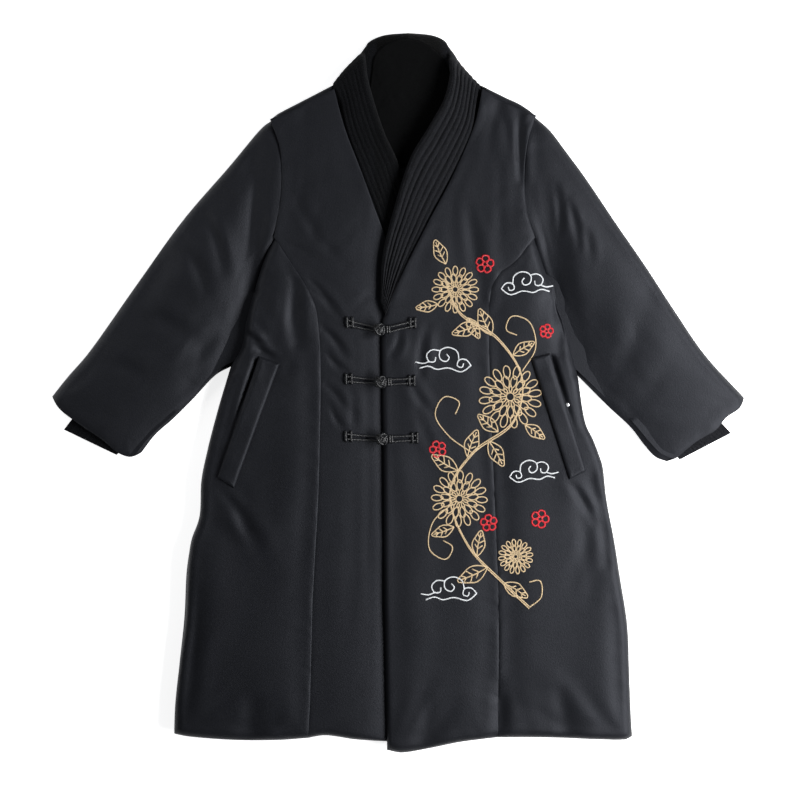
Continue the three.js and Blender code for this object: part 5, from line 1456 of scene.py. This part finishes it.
def flower(x, y, radius, turn):
    """Chrysanthemum: rings of narrow petals round a small centre."""
    lines = []
    inner = FIRST_PETAL
    for ring, (outer, petals) in enumerate(FLOWER_RINGS):
        for k in range(petals):
            angle = turn + 360 * (k + 0.5 * (ring % 2)) / petals
            start = turned([(inner * 0.9, 0)], angle, radius, (x, y))[0]
            lines.append(loop_through(turned(PETAL, angle, radius * (outer - inner * 0.9), start)))
        inner = outer * 0.92
    centre = np.linspace(0, 2 * np.pi, 20)
    heart = radius * FLOWER_HEART
    lines.append(np.column_stack([x + heart * np.cos(centre), y + heart * np.sin(centre)]))
    return lines


def leaf(x, y, length, degrees):
    lines = [loop_through(turned(LEAF, degrees, length, (x, y)))]
    lines.append(loop_through(turned(((0, 0), (0.4, 0.03), (0.9, 0)), degrees, length, (x, y)), 12))
    for share in (0.3, 0.5, 0.7):
        for side in (1, -1):
            root = np.array([share, 0.01])
            tip = np.array([share + 0.14, side * (0.2 - abs(share - 0.45) * 0.35)])
            lines.append(turned([root, mix(root, tip, 0.5), tip], degrees, length, (x, y)))
    return lines


def cloud(x, y, size, degrees, flip):
    return [loop_through(turned(np.array(part) * [flip, 1], degrees, size, (x, y))) for part in CLOUD]


def blossom(x, y, radius, turn):
    return [loop_through(turned(RED_PETAL, turn + 72 * k, radius, (x, y)), 18) for k in range(5)]


STEM = ([196, -322], [158, -286], [104, -228], [78, -150], [112, -92], [172, -46], [186, 18], [150, 78],
        [92, 118], [70, 168])
STEM_LINES = (-1.6, 1.6)
# Place, radius and turn of each flower; place, length and turn of each leaf
FLOWERS = ((168, -8, 47, 8), (92, -160, 42, 20), (86, 152, 35, 0), (176, -246, 26, 30))
LEAVES = (
    (134, -262, 50, 205), (158, -286, 42, 330), (118, -246, 40, 80), (84, -202, 36, 200),
    (90, -118, 46, 150), (104, -98, 44, 70), (136, -74, 44, 300), (150, -60, 40, 140),
    (190, -50, 36, 325), (172, 54, 38, 32), (140, 84, 44, 115),
    (120, 100, 42, 200), (104, 110, 36, 300), (72, 190, 40, 115), (60, 130, 34, 190),
)
TENDRILS = (
    ([186, 30], [206, 66], [196, 104], [170, 112], [162, 92], [178, 84]),
    ([78, -170], [52, -196], [48, -236], [72, -250], [82, -232], [68, -222]),
    ([112, -92], [76, -66], [56, -34], [70, -8], [92, -16], [86, -34]),
    ([196, -322], [214, -306], [212, -282], [196, -284]),
)
# Place, size, turn and direction of each cloud; place, radius and turn of each blossom
CLOUDS = ((186, 160, 32, 4, 1), (76, 46, 34, -4, -1), (196, -120, 30, 6, 1), (84, -296, 34, 0, -1))
BLOSSOMS = ((130, 190, 13, 10), (60, -86, 12, 40), (212, -190, 13, 0), (136, -196, 12, 25),
            (222, 90, 10, 5))
# Width of the line, and the thread's dark and light
THREADS = {
    "gold": (2.1, (0.36, 0.24, 0.12), (0.80, 0.62, 0.38)),
    "white": (2.2, (0.55, 0.57, 0.60), (0.86, 0.88, 0.90)),
    "red": (3.0, (0.42, 0.006, 0.012), (0.72, 0.015, 0.028)),
}
THREAD_RELIEF = 1.5
THREAD_STEP = 2.2
THREAD_LIFT = 0.25


def embroidered_lines():
    gold = [Seam(*STEM).at(np.linspace(0, 1, 220)) + [0, offset] for offset in STEM_LINES]
    gold += [loop_through(points, 40) for points in TENDRILS]
    gold += [line for spec in FLOWERS for line in flower(*spec)]
    gold += [line for spec in LEAVES for line in leaf(*spec)]
    white = [line for spec in CLOUDS for line in cloud(*spec)]
    red = [line for spec in BLOSSOMS for line in blossom(*spec)]
    return {"gold": gold, "white": white, "red": red}


def embroidery(name, lines, width, ground, material):
    ropes = []
    for line in lines:
        run = run_along(line)
        length = np.linalg.norm(np.diff(line, axis=0), axis=1).sum()
        at = np.linspace(0, run[-1], max(int(length / THREAD_STEP), 3))
        even = np.column_stack([np.interp(at, run, line[:, 0]), np.interp(at, run, line[:, 1])])
        ropes.append((ground.laid(even, THREAD_LIFT), width, THREAD_RELIEF))
    piece = joined_ropes(name, ropes, material, sides=6)


FLOOR_SIZE = 6.0
FLOOR_HEIGHT = -0.0004


def add_studio():
    bpy.context.scene.view_settings.view_transform = "Standard"
    add_camera()
    add_world(overhead=0.008, around=0.2, lean=0.6)
    add_light("key", place=(1.1, -0.13, 0.9), aim=(0.15, 0, 0), size=(1.7, 0.6), watts=42)
    add_light("fill", place=(-0.95, 0.5, 0.5), aim=(-0.35, 0.1, 0), size=(0.9, 0.4), watts=3)
    bpy.ops.mesh.primitive_grid_add(size=FLOOR_SIZE, x_subdivisions=12, y_subdivisions=12,
                                    location=(0, 0, FLOOR_HEIGHT))
    floor = bpy.context.object
    floor.name = "floor"
    floor.data.materials.append(paper_floor())


def add_pads(cloth):
    """Back, fronts and sleeves."""
    panels = {
        "front_right_centre": front_right_centre(seed=100),
        "front_right_side": side_panel("right", RIGHT, seed=300),
        "front_left_centre": front_left_centre(seed=200),
        "front_left_side": side_panel("left", LEFT, seed=400),
        "sleeve_right": sleeve_panel(RIGHT, seed=500),
        "sleeve_left": sleeve_panel(LEFT, seed=600),
    }
    fill_panels(panels.values())
    pads = {"back_panel": back_panel(cloth)}
    for node, panel in panels.items():
        name = f"{node}_padded"
        if node.startswith("sleeve"):
            pads[node] = sleeve(name, panel, cloth)
            continue
        under = np.full_like(panel.top, FRONT_BASE)
        if node == "front_right_centre":
            panel.top = np.minimum(panel.top, tuck_top(panel.grid))
        if node == "front_left_centre":
            under = upper_underside(panel.grid)
        pads[node] = pad_mesh(name, panel.grid, panel.top, under, cloth)
    for node, piece in pads.items():
        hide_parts(node)
    return pads


def add_knits():
    """Collar halves and cuffs."""
    # The right collar half and the right cuff take a darker, less glossy copy of the same knit: painted
    # shade. Its larger rim also lifts the painted neck shade sooner towards the sides.
    knits = {"right": rib_knit("rib_knit_painted_shade", (0.002, 0.0022, 0.0028), gloss=0.07, rim=3.2),
             "left": rib_knit("rib_knit", (0.0056, 0.006, 0.008), gloss=0.16, rim=1)}
    for side, rows, sign in (("right", RIGHT_COLLAR, -1), ("left", LEFT_COLLAR, 1)):
        piece = collar(f"collar_{side}_knit", rows, sign, COLLAR_RIDGE_HEIGHT[side], knits[side])
        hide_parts(f"collar_{side}")
        cuff, width, length = knit_cuff(f"cuff_{side}_knit", CUFF_CORNERS[side], knits[side])
        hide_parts(f"cuff_{side}")


def add_lining():
    lining = neck_lining(plush_cloth())
    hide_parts("neck_lining")


def add_trims(ground, cloth):
    """Welts, frogs, snap and embroidery, all laid on the fronts."""
    for number, side in enumerate(WELTS):
        welt = pocket_welt(f"pocket_welt_{side}_padded", WELTS[side], ground, cloth, 700 + number)
        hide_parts(f"pocket_welt_{side}")
    cord = braid_cord()
    for spec in FROGS:
        frog(spec, ground, cord)
    for color, lines in embroidered_lines().items():
        width, dark, light = THREADS[color]
        material = thread(f"{color}_thread", dark, light)
        embroidery(f"embroidery_{color}", lines, width, ground, material)
    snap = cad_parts["pocket_snap_left"]
    snap.data.materials.clear()
    snap.data.materials.append(snap_finish())
    snap.data.shade_smooth()


def main():
    add_studio()
    cloth = shell_cloth()
    pads = add_pads(cloth)
    add_knits()
    add_lining()
    ground = Ground([piece for node, piece in pads.items() if node.startswith("front")])
    add_trims(ground, cloth)


main()
